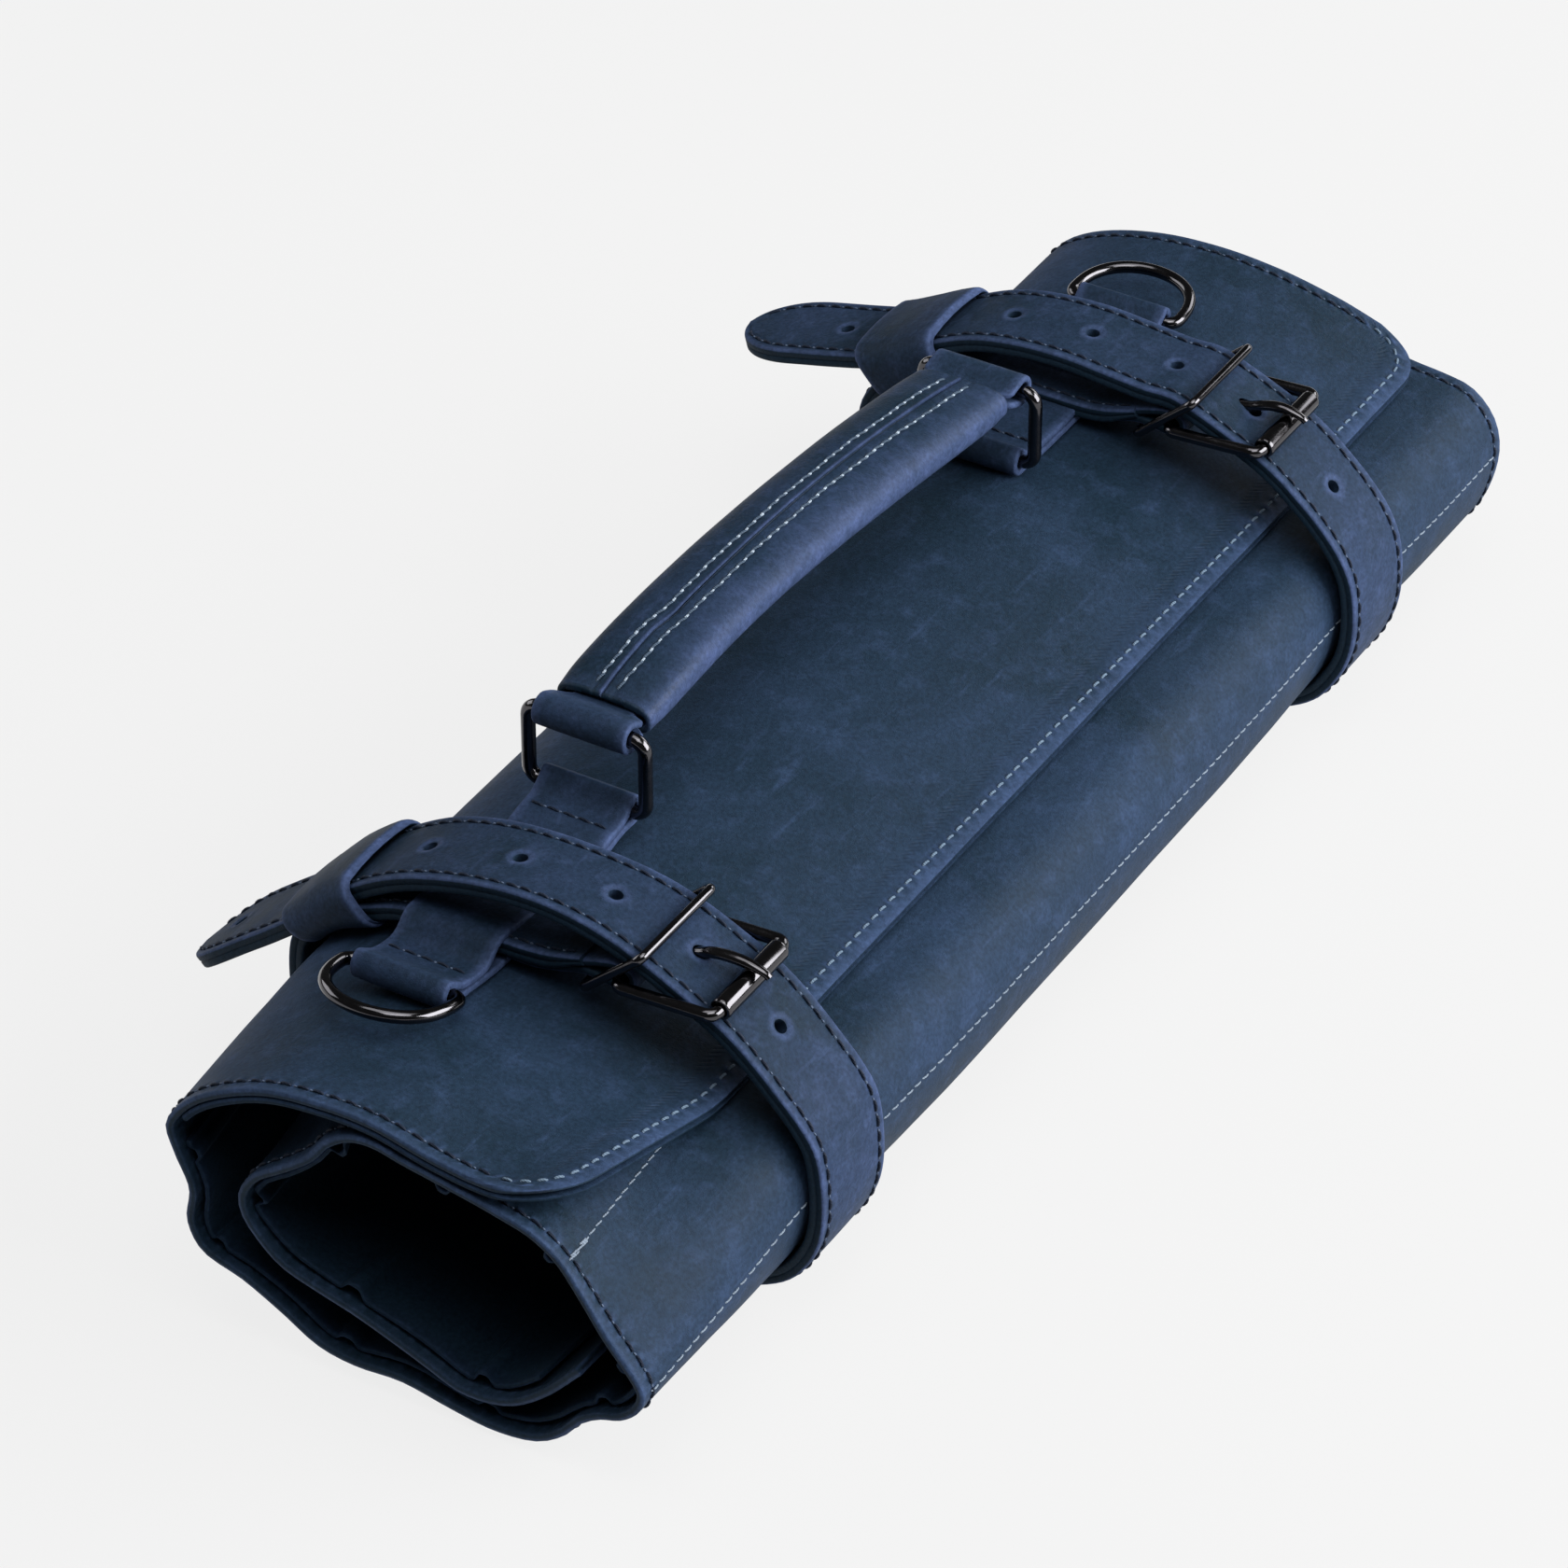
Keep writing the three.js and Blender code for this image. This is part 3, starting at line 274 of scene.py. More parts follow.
# ------------------------------------------------------------------ materials
def node(nt, kind, **inputs):
    n = nt.nodes.new(kind)
    for k, v in inputs.items():
        setattr(n, k, v)
    return n


def leather(name, base=(0.0112, 0.0240, 0.0480), light=(0.0315, 0.0555, 0.1200), dark=(0.0055, 0.0142, 0.0245),
            rough=0.60, grain=0.00020, mottle=24.0, sheen=0.012, wear_and_light_amount=1.0, spec=0.085, emboss=False):
    """Waxed pull-up leather: a dark waxy colour that lightens in clouds where
    it is bent or rubbed, a fine nap, small pores and hair-thin scuffs. The
    piece's own attribute adds wear and painted highlights, and painted shade."""
    m = bpy.data.materials.new(name)
    m.use_nodes = True
    nt = m.node_tree
    L = nt.links
    b = nt.nodes["Principled BSDF"]
    co = node(nt, "ShaderNodeTexCoord")
    # clouds
    n1 = node(nt, "ShaderNodeTexNoise")
    n1.inputs["Scale"].default_value = mottle
    n1.inputs["Detail"].default_value = 5
    n1.inputs["Roughness"].default_value = 0.55
    n1.inputs["Distortion"].default_value = 0.6
    n2 = node(nt, "ShaderNodeTexNoise")
    n2.inputs["Scale"].default_value = mottle * 6
    n2.inputs["Detail"].default_value = 6
    n2.inputs["Roughness"].default_value = 0.6
    n3 = node(nt, "ShaderNodeTexNoise")
    n3.inputs["Scale"].default_value = 900
    n3.inputs["Detail"].default_value = 3
    vor = node(nt, "ShaderNodeTexVoronoi")
    vor.feature = "DISTANCE_TO_EDGE"
    vor.inputs["Scale"].default_value = 1500
    # scuffs: stretched noise
    mp = node(nt, "ShaderNodeMapping")
    mp.inputs["Scale"].default_value = (30, 260, 260)
    mp.inputs["Rotation"].default_value = (0.3, 0.2, 0.5)
    sc = node(nt, "ShaderNodeTexNoise")
    sc.inputs["Scale"].default_value = 1.0
    sc.inputs["Detail"].default_value = 4
    sc.inputs["Roughness"].default_value = 0.65
    for n in (n1, n2, n3, vor):
        L.new(co.outputs["Object"], n.inputs["Vector"])
    L.new(co.outputs["Object"], mp.inputs["Vector"])
    L.new(mp.outputs["Vector"], sc.inputs["Vector"])
    r1 = node(nt, "ShaderNodeValToRGB")
    r1.color_ramp.elements[0].position = 0.30
    r1.color_ramp.elements[1].position = 0.72
    r1.color_ramp.elements[0].color = (*dark, 1)
    r1.color_ramp.elements[1].color = (*base, 1)
    L.new(n1.outputs["Fac"], r1.inputs["Fac"])
    mixa = node(nt, "ShaderNodeMix")
    mixa.data_type = "RGBA"
    r2 = node(nt, "ShaderNodeValToRGB")
    r2.color_ramp.elements[0].position = 0.50
    r2.color_ramp.elements[1].position = 0.78
    L.new(n2.outputs["Fac"], r2.inputs["Fac"])
    mulr = node(nt, "ShaderNodeMath", operation="MULTIPLY")
    mulr.inputs[1].default_value = 0.30
    L.new(r2.outputs["Color"], mulr.inputs[0])
    L.new(mulr.outputs[0], mixa.inputs["Factor"])
    L.new(r1.outputs["Color"], mixa.inputs[6])
    mixa.inputs[7].default_value = (*light, 1)
    # scuffs
    r3 = node(nt, "ShaderNodeValToRGB")
    r3.color_ramp.elements[0].position = 0.60
    r3.color_ramp.elements[1].position = 0.74
    L.new(sc.outputs["Fac"], r3.inputs["Fac"])
    mul3 = node(nt, "ShaderNodeMath", operation="MULTIPLY")
    mul3.inputs[1].default_value = 0.28
    L.new(r3.outputs["Color"], mul3.inputs[0])
    mixb = node(nt, "ShaderNodeMix")
    mixb.data_type = "RGBA"
    L.new(mul3.outputs[0], mixb.inputs["Factor"])
    L.new(mixa.outputs[2], mixb.inputs[6])
    mixb.inputs[7].default_value = (*light, 1)
    # wear along edges and bends, together with painted highlights (the handle's lit side, the belts' front run, the
    # keepers' ends) and painted shade (inside faces, strap sides, the handle seam), from the piece's own attribute:
    # positive values lighten, negative ones darken
    at = node(nt, "ShaderNodeAttribute")
    at.attribute_name = "wear_and_painted_light"
    wn = node(nt, "ShaderNodeMath", operation="MULTIPLY")
    L.new(at.outputs["Fac"], wn.inputs[0])
    wv = node(nt, "ShaderNodeMapRange")
    wv.inputs["From Min"].default_value = 0.3
    wv.inputs["From Max"].default_value = 0.7
    wv.inputs["To Min"].default_value = 0.45
    wv.inputs["To Max"].default_value = 1.0
    L.new(n2.outputs["Fac"], wv.inputs["Value"])
    L.new(wv.outputs["Result"], wn.inputs[1])
    ws = node(nt, "ShaderNodeMath", operation="MULTIPLY")
    ws.inputs[1].default_value = wear_and_light_amount
    ws.use_clamp = True
    L.new(wn.outputs[0], ws.inputs[0])
    # negative values of the attribute pull the colour towards the dark tone below: painted shade
    wd = node(nt, "ShaderNodeMath", operation="MULTIPLY")
    wd.inputs[1].default_value = -1.6
    wd.use_clamp = True
    L.new(at.outputs["Fac"], wd.inputs[0])
    mixc = node(nt, "ShaderNodeMix")
    mixc.data_type = "RGBA"
    L.new(ws.outputs[0], mixc.inputs["Factor"])
    L.new(mixb.outputs[2], mixc.inputs[6])
    mixc.inputs[7].default_value = (light[0] * 1.25, light[1] * 1.2, light[2] * 1.2, 1)
    # fine nap in the colour
    r4 = node(nt, "ShaderNodeMapRange")
    r4.inputs["From Min"].default_value = 0.3
    r4.inputs["From Max"].default_value = 0.7
    r4.inputs["To Min"].default_value = 0.78
    r4.inputs["To Max"].default_value = 1.24
    L.new(n3.outputs["Fac"], r4.inputs["Value"])
    mulc = node(nt, "ShaderNodeMix")
    mulc.data_type = "RGBA"
    mulc.blend_type = "MULTIPLY"
    mulc.inputs["Factor"].default_value = 1.0
    mixd = node(nt, "ShaderNodeMix")
    mixd.data_type = "RGBA"
    L.new(wd.outputs[0], mixd.inputs["Factor"])
    L.new(mixc.outputs[2], mixd.inputs[6])
    mixd.inputs[7].default_value = (dark[0] * 1.1, dark[1] * 1.1, dark[2] * 1.1, 1)
    L.new(mixd.outputs[2], mulc.inputs[6])
    L.new(r4.outputs["Result"], mulc.inputs[7])
    L.new(mulc.outputs[2], b.inputs["Base Color"])
    # roughness: waxier in the dark clouds
    rr = node(nt, "ShaderNodeMapRange")
    rr.inputs["From Min"].default_value = 0.3
    rr.inputs["From Max"].default_value = 0.7
    rr.inputs["To Min"].default_value = rough - 0.07
    rr.inputs["To Max"].default_value = rough + 0.10
    L.new(n1.outputs["Fac"], rr.inputs["Value"])
    L.new(rr.outputs["Result"], b.inputs["Roughness"])
    b.inputs["Specular IOR Level"].default_value = spec
    b.inputs["Sheen Weight"].default_value = sheen
    b.inputs["Sheen Roughness"].default_value = 0.45
    b.inputs["Sheen Tint"].default_value = (0.55, 0.68, 1.0, 1)
    # bump: pores, nap and soft dimples
    h = node(nt, "ShaderNodeMath", operation="MULTIPLY")
    h.inputs[1].default_value = 0.9
    L.new(vor.outputs["Distance"], h.inputs[0])
    h2 = node(nt, "ShaderNodeMath", operation="MULTIPLY_ADD")
    h2.inputs[1].default_value = 0.8
    L.new(n3.outputs["Fac"], h2.inputs[0])
    L.new(h.outputs[0], h2.inputs[2])
    h3 = node(nt, "ShaderNodeMath", operation="MULTIPLY_ADD")
    h3.inputs[1].default_value = 1.6
    L.new(n2.outputs["Fac"], h3.inputs[0])
    L.new(h2.outputs[0], h3.inputs[2])
    bp = node(nt, "ShaderNodeBump")
    bp.inputs["Strength"].default_value = 0.5
    bp.inputs["Distance"].default_value = grain
    L.new(h3.outputs[0], bp.inputs["Height"])
    if emboss:
        # a row of slanting feed marks inside the flap's edge, and the puckers
        # between the stitches, laid out in the sheet's own flat millimetres
        def math_(op, a, b_=None, c=None):
            q = node(nt, "ShaderNodeMath", operation=op)
            for i, v in enumerate((a, b_, c)):
                if v is None:
                    continue
                if isinstance(v, (int, float)):
                    q.inputs[i].default_value = v
                else:
                    L.new(v, q.inputs[i])
            return q.outputs[0]
        au = node(nt, "ShaderNodeAttribute")
        au.attribute_name = "along"
        av = node(nt, "ShaderNodeAttribute")
        av.attribute_name = "across"
        u_, v_ = au.outputs["Fac"], av.outputs["Fac"]

        def bell(x, mid, wid):
            d = math_("MULTIPLY", math_("SUBTRACT", x, mid), 1.0 / wid)
            return math_("EXPONENT", math_("MULTIPLY", math_("MULTIPLY", d, d), -1.0))
        ph = math_("SINE", math_("MULTIPLY", math_("ADD", u_, v_), 2 * math.pi / 1.9))
        marks = math_("MULTIPLY", bell(v_, 9.4, 1.1), math_("MULTIPLY", math_("MAXIMUM", ph, 0.0), -1.0))
        wl = math_("COSINE", math_("MULTIPLY", math_("ADD", u_, 2.15), 2 * math.pi / 4.3))
        puck1 = math_("MULTIPLY", bell(v_, 4.0, 1.5), math_("MULTIPLY", wl, 0.8))
        endd = math_("SUBTRACT", LENGTH / 2, math_("ABSOLUTE", u_))
        we = math_("COSINE", math_("MULTIPLY", v_, 2 * math.pi / 4.6))
        puck2 = math_("MULTIPLY", bell(endd, 4.0, 1.5), math_("MULTIPLY", we, 0.9))
        tot = math_("ADD", marks, math_("ADD", puck1, puck2))
        tuft = math_("MULTIPLY", math_("MAXIMUM", math_("ADD", puck1, puck2), 0.0), 0.42)
        L.new(math_("ADD", ws.outputs[0], tuft), mixc.inputs["Factor"])
        bp2 = node(nt, "ShaderNodeBump")
        bp2.inputs["Strength"].default_value = 0.8
        bp2.inputs["Distance"].default_value = 0.0003
        L.new(tot, bp2.inputs["Height"])
        L.new(bp.outputs["Normal"], bp2.inputs["Normal"])
        L.new(bp2.outputs["Normal"], b.inputs["Normal"])
    else:
        L.new(bp.outputs["Normal"], b.inputs["Normal"])
    return m


def thread(name, color, rough=0.6):
    """Waxed thread with a fine twist."""
    m = bpy.data.materials.new(name)
    m.use_nodes = True
    nt = m.node_tree
    L = nt.links
    b = nt.nodes["Principled BSDF"]
    co = node(nt, "ShaderNodeTexCoord")
    mp = node(nt, "ShaderNodeMapping")
    mp.inputs["Rotation"].default_value = (0.6, 0.5, 0.8)
    w = node(nt, "ShaderNodeTexWave")
    w.inputs["Scale"].default_value = 620
    w.inputs["Distortion"].default_value = 1.5
    n = node(nt, "ShaderNodeTexNoise")
    n.inputs["Scale"].default_value = 160
    L.new(co.outputs["Object"], mp.inputs["Vector"])
    L.new(mp.outputs["Vector"], w.inputs["Vector"])
    L.new(co.outputs["Object"], n.inputs["Vector"])
    mx = node(nt, "ShaderNodeMix")
    mx.data_type = "RGBA"
    mx.inputs[6].default_value = (color[0] * 0.5, color[1] * 0.5, color[2] * 0.55, 1)
    mx.inputs[7].default_value = (*color, 1)
    ad = node(nt, "ShaderNodeMath", operation="MULTIPLY_ADD")
    ad.inputs[1].default_value = 0.5
    L.new(w.outputs["Fac"], ad.inputs[0])
    L.new(n.outputs["Fac"], ad.inputs[2])
    L.new(ad.outputs[0], mx.inputs["Factor"])
    L.new(mx.outputs[2], b.inputs["Base Color"])
    b.inputs["Roughness"].default_value = rough
    b.inputs["Specular IOR Level"].default_value = 0.15
    bp = node(nt, "ShaderNodeBump")
    bp.inputs["Strength"].default_value = 0.6
    bp.inputs["Distance"].default_value = 0.0001
    L.new(w.outputs["Fac"], bp.inputs["Height"])
    L.new(bp.outputs["Normal"], b.inputs["Normal"])
    return m


def dark_metal(name, color=(0.080, 0.078, 0.084), rough=0.12):
    """Polished black nickel, with faint cloudy polish marks."""
    m = bpy.data.materials.new(name)
    m.use_nodes = True
    nt = m.node_tree
    L = nt.links
    b = nt.nodes["Principled BSDF"]
    b.inputs["Metallic"].default_value = 1.0
    co = node(nt, "ShaderNodeTexCoord")
    n = node(nt, "ShaderNodeTexNoise")
    n.inputs["Scale"].default_value = 240
    n.inputs["Detail"].default_value = 4
    L.new(co.outputs["Object"], n.inputs["Vector"])
    n2 = node(nt, "ShaderNodeTexNoise")
    n2.inputs["Scale"].default_value = 1400
    n2.inputs["Detail"].default_value = 3
    L.new(co.outputs["Object"], n2.inputs["Vector"])
    r = node(nt, "ShaderNodeMapRange")
    r.inputs["From Min"].default_value = 0.3
    r.inputs["From Max"].default_value = 0.7
    r.inputs["To Min"].default_value = rough - 0.03
    r.inputs["To Max"].default_value = rough + 0.06
    L.new(n.outputs["Fac"], r.inputs["Value"])
    L.new(r.outputs["Result"], b.inputs["Roughness"])
    mx = node(nt, "ShaderNodeMix")
    mx.data_type = "RGBA"
    mx.inputs[6].default_value = (*[c * 0.75 for c in color], 1)
    mx.inputs[7].default_value = (*[c * 1.2 for c in color], 1)
    L.new(n.outputs["Fac"], mx.inputs["Factor"])
    L.new(mx.outputs[2], b.inputs["Base Color"])
    bp = node(nt, "ShaderNodeBump")
    bp.inputs["Strength"].default_value = 0.05
    bp.inputs["Distance"].default_value = 0.00003
    L.new(n2.outputs["Fac"], bp.inputs["Height"])
    L.new(bp.outputs["Normal"], b.inputs["Normal"])
    return m


M_COVER = leather("cover_leather", emboss=True)
M_BELT = leather("belt_leather", base=(0.0138, 0.0258, 0.0550), light=(0.0390, 0.0610, 0.1340), mottle=34, rough=0.60, spec=0.07)
# its light tone is also the colour of the painted highlight along the sleeve's lit side
M_GRIP = leather("grip_leather", base=(0.0132, 0.0250, 0.0530), light=(0.0420, 0.0640, 0.1440), mottle=30, rough=0.47, spec=0.085)
M_LINING = leather("lining_leather", base=(0.0068, 0.0145, 0.0310), light=(0.019, 0.036, 0.076), mottle=40, rough=0.68, spec=0.05)
M_THREAD_D = thread("thread_navy", (0.0090, 0.0150, 0.0300), 0.6)
M_THREAD_L = thread("thread_grey", (0.115, 0.165, 0.225))
M_THREAD_W = thread("thread_pale", (0.17, 0.21, 0.26))
# pale thread beads at the stitch holes: painted highlights where the thread enters the leather
M_THREAD_HIGHLIGHT = thread("thread_bead_highlight", (0.085, 0.115, 0.175))
M_THREAD_H = thread("thread_handle", (0.050, 0.075, 0.110))
M_THREAD_G = thread("thread_glint", (0.30, 0.36, 0.42))
M_METAL = dark_metal("black_nickel")


# ------------------------------------------------------------------ cover
def fold_poly(table):
    """Dense matched polyline: the same number of samples on each fold."""
    rows, ends = [], []
    for f in FOLDS:
        rows += table[f]
        ends.append(len(rows) - 1)
    per = 24
    P = catmull(rows, per)
    out, i0 = [], 0
    for k, e in enumerate(ends):
        seg = P[i0 * per: e * per + 1]
        L = arclen(seg)
        s = np.linspace(0, L[-1], 120)
        q = at_len(seg, s)
        out.append(q if k == 0 else q[1:])
        i0 = e
    return np.vstack(out)


NEARP, MIDP = fold_poly(NEAR_END), fold_poly(MIDDLE)
MIDP[:, 1] = np.maximum(MIDP[:, 1], 0)
FLATS = arclen(MIDP)               # mid arc length at each matched sample
FLAT_L = FLATS[-1]
END = {f: FLATS[120 * (k + 1) - 1 - k] for k, f in enumerate(FOLDS)}


def openness(x):
    d = (OPEN_FROM - x) / (OPEN_FROM + LENGTH / 2)
    # same ramp as the construction, eased over its first few millimetres
    return np.where(d <= -0.1, 0, np.where(d < 0.1, (d + 0.1) ** 2 * 2.5, np.clip(d, 0, 1)))


def squeeze(x):
    """1 under a belt, 0 well away from both."""
    return np.exp(-(np.maximum(np.abs(np.abs(x) - BELT_X) - 15, 0) / 26) ** 2)


def cover_poly(x):
    w = float(openness(x))
    P = MIDP + w * (NEARP - MIDP)
    return P


def cover_points(x, t, depth, trim=True):
    """Points of the sheet at station x, mid arc lengths t, and depth inside
    the outer face. Returns positions and outward normals in (y, z)."""
    P = cover_poly(x)
    d = LENGTH / 2 - abs(x)
    if trim and d < FLAP_R:
        back = FLAP_R - math.sqrt(max(0.0, FLAP_R**2 - (FLAP_R - d) ** 2))
        reach = 75.0
        tt = np.where(t < reach, back + (reach - back) * t / reach, t)
    else:
        tt = t
    N2 = tangents(P)
    n_in = np.stack([N2[:, 1], -N2[:, 0]], axis=1)
    y = np.interp(tt, FLATS, P[:, 0])
    z = np.interp(tt, FLATS, P[:, 1])
    ny = np.interp(tt, FLATS, n_in[:, 0])
    nz = np.interp(tt, FLATS, n_in[:, 1])
    l = np.hypot(ny, nz)
    ny, nz = ny / l, nz / l
    # the roll swells a little between the belts
    free = 1 - squeeze(x)
    mid_w = 1 - float(openness(x))
    swell = 1.15 * free * mid_w
    flap_in = np.exp(-((tt - 60) / 70) ** 2) * 0.5 + np.exp(-((tt - END["front"] + 15) / 45) ** 2) * 1.0 + np.exp(-((tt - END["back"] + 25) / 40) ** 2) * 0.7
    # never pushes the second turn into the first one
    inner = smoothstep(END["front"] - 5, END["front"] + 60, tt)
    push = swell * flap_in * (1 - inner)
    X = np.full_like(y, x)
    Q = np.stack([X, y, z], axis=1)
    wob = 0.28 * soft_noise(Q, 0.055) + 0.16 * soft_noise2(Q, 0.13)
    push = push + wob * (0.25 + 0.75 * free) * 0.55
    y = y - ny * push
    z = z - nz * push
    return y + ny * depth, z + nz * depth, -ny, -nz


def lines(length, step, edges=(0, 1), detail=(0, 0.18, 0.45, 0.9, 1.8, 2.8, 3.4, 3.75, 4.0, 4.25, 4.6, 5.4)):
    s = list(np.linspace(0, length, int(round(length / step)) + 1))
    out = [v for v in s if (not edges[0] or v > detail[-1] + 0.8) and (not edges[1] or v < length - detail[-1] - 0.8)]
    if edges[0]:
        out += list(detail)
    if edges[1]:
        out += [length - v for v in detail]
    return np.array(sorted(set(np.round(out, 4))))


def groove(dist, at=4.0, depth=0.28, width=0.55):
    return depth * np.exp(-((dist - at) / width) ** 2)


def edge_round(dist, T, r=0.6):
    """How much each face draws in near a cut edge."""
    q = np.clip(1 - dist / r, 0, 1)
    return T * 0.34 * (1 - np.sqrt(np.clip(1 - q * q, 0, 1)))


def sheet_piece(name, xs, ts, d0, d1, material, trim=True, extra=None, grooves=(), wear_and_painted_light=None, edge_wear=0.55):
    """A layer of the roll as one closed mesh."""
    nx, nt_ = len(xs), len(ts)
    T = d1 - d0
    t0, t1 = ts[0], ts[-1]
    x0, x1 = xs[0], xs[-1]
    outer = np.zeros((nx, nt_, 3))
    inner = np.zeros((nx, nt_, 3))
    W = np.zeros((nx, nt_))
    for i, x in enumerate(xs):
        dx = min(x - x0, x1 - x)
        dt = np.minimum(ts - t0, t1 - ts)
        dist = np.minimum(dt, dx)
        er = edge_round(dt, T) + edge_round(np.full_like(ts, dx), T) * (dt > 0.6)
        er = np.maximum(edge_round(dt, T), edge_round(np.full_like(ts, dx), T))
        g = np.zeros_like(ts)
        for fn in grooves:
            g = np.maximum(g, fn(x, ts, dx, dt))
        e = extra(x, ts) if extra is not None else 0
        y, z, _, _ = cover_points(x, ts, d0 + er + g + e, trim)
        outer[i] = np.stack([np.full_like(ts, x), y, z], axis=1)
        y, z, _, _ = cover_points(x, ts, d1 - er - 0.4 * g + e, trim)
        inner[i] = np.stack([np.full_like(ts, x), y, z], axis=1)
        W[i] = edge_wear * np.exp(-(dist / 1.6) ** 2) + (wear_and_painted_light(x, ts) if wear_and_painted_light is not None else 0)
    V = np.vstack([outer.reshape(-1, 3), inner.reshape(-1, 3)])
    n = nx * nt_
    F = []
    for i in range(nx - 1):
        for j in range(nt_ - 1):
            a, b_, c, d = i * nt_ + j, (i + 1) * nt_ + j, (i + 1) * nt_ + j + 1, i * nt_ + j + 1
            F.append((a, b_, c, d))
            F.append((n + a, n + d, n + c, n + b_))
    for i in range(nx - 1):
        a, b_ = i * nt_, (i + 1) * nt_
        F.append((a, n + a, n + b_, b_))
        a, b_ = i * nt_ + nt_ - 1, (i + 1) * nt_ + nt_ - 1
        F.append((a, b_, n + b_, n + a))
    for j in range(nt_ - 1):
        a, b_ = j, j + 1
        F.append((a, b_, n + b_, n + a))
        a, b_ = (nx - 1) * nt_ + j, (nx - 1) * nt_ + j + 1
        F.append((a, n + a, n + b_, b_))
    # The inner face is painted shade: dark along its cut rim and darkening away from the edges, so the inside of the
    # roll reads dark; it keeps a quarter of the outer face's wear.
    cut = np.zeros((nx, nt_))
    cut[0, :] = cut[-1, :] = cut[:, 0] = cut[:, -1] = 1
    far_in = np.minimum(np.minimum(xs - x0, x1 - xs)[:, None], np.minimum(ts - t0, t1 - ts)[None, :])
    inner_wear_and_shade = np.where(cut > 0, -0.5, 0.25 * W - 0.5 * np.clip(far_in / 6.0, 0, 1))
    U = np.repeat(np.asarray(xs, float)[:, None], nt_, axis=1).reshape(-1)
    S = np.repeat(np.asarray(ts, float)[None, :], nx, axis=0).reshape(-1)
    return make_mesh(name, to_world(V), F, material, True, 50, {
        "wear_and_painted_light": np.concatenate([W.reshape(-1), inner_wear_and_shade.reshape(-1)]),
        "along": np.concatenate([U, U]), "across": np.concatenate([S, S + 2000])})


DET_X = (0, 0.18, 0.45, 0.9, 1.8, 2.8, 3.4, 3.75, 4.0, 4.25, 4.6, 5.4, 7.0, 9, 11.5, 14.5, 18)


def x_lines(x0, x1, near_step=4.0, mid_step=8.0):
    out = [x0 + d for d in DET_X] + [x1 - d for d in DET_X]
    out += list(np.arange(x0 + 22, -150, near_step)) + list(np.arange(-150, x1 - 22, mid_step))
    return np.array(sorted(set(np.round(out, 4))))


xs = x_lines(-230.0, 230.0)
ts = lines(FLAT_L, 3.4)
SEAM2_T = END["front"] - 2.0       # the pale seam low on the front


def seam_t(x):
    """The pale seam on the second turn, running in under the flap."""
    return 376.0 - 6.0 * np.clip((np.asarray(x, float) + 226) / 76, 0, 1)


def cover_groove(x, t, dx, dt):
    g = np.zeros_like(t)
    # round the flap and along both ends
    g = np.maximum(g, groove(np.minimum(dt, np.full_like(t, dx))))
    return g


def cover_wear(x, t):
    # bends rub light: the back shoulder, the front fold, the flap's edge
    w = 0.30 * np.exp(-((t - END["flap"] + 8) / 14) ** 2)
    w += 0.22 * np.exp(-((t - END["front"]) / 16) ** 2)
    w += 0.19 * np.exp(-(t / 7) ** 2)
    return w


cover = sheet_piece("roll_cover", xs, ts, 0.0, COVER_T, M_COVER, True, None, (cover_groove,), cover_wear)
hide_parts("cover")
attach(cover, "roll")

# second layer under the flap, its edge a little proud of the cover's
lin_t = np.concatenate([[-0.0], lines(118.0, 3.6)[1:]])
lining = sheet_piece("flap_lining_layer", xs, lin_t, COVER_T + GAP, COVER_T + GAP + LINING_T, M_LINING, True)
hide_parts("flap_lining")
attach(lining, "roll")

# ------------------------------------------------------------------ pockets
PLEAT = 40.0


def pleat(x, t):
    # each pocket stands a little open, with its stitched seam folded up between
    fade = np.clip(1 - (x + 227) / 60, 0, 1) ** 1.5
    ph = (t % PLEAT) - PLEAT / 2
    curl = np.exp(-(ph / 2.7) ** 4)
    tall = np.where(t < END["front"], 2.2, 3.2)
    mouth = 1.1 * (0.5 + 0.5 * np.cos(2 * np.pi * ph / PLEAT + np.pi)) ** 0.8
    return fade * (tall * curl + mouth)


px = np.array(sorted(set(np.round([-227 + d for d in (0, .15, .4, .9, 2, 3.5, 5.5, 8, 11, 15, 20, 26)] + list(np.arange(-195, 60, 14)) + [59.6, 59.85, 60], 4))))
pt0, pt1 = END["flap"] + 9, FLAT_L - 16
pt = set(np.round(np.linspace(pt0, pt1, 110), 3)) | {round(pt0 + d, 3) for d in (0.3, 0.8, 1.6)} | {round(pt1 - d, 3) for d in (0.3, 0.8, 1.6)}
for c in np.arange(PLEAT / 2, FLAT_L, PLEAT):
    pt |= {round(c + d, 3) for d in np.arange(-5.2, 5.21, 0.4) if pt0 + 2 < c + d < pt1 - 2}
pt = np.array(sorted(pt))
pt = pt[np.concatenate([[True], np.diff(pt) > 0.12])]
panel = sheet_piece("pocket_layer", px, pt, COVER_T + GAP, COVER_T + GAP + PANEL_T, M_LINING, False, pleat)
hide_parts("pocket_panel")
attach(panel, "roll")


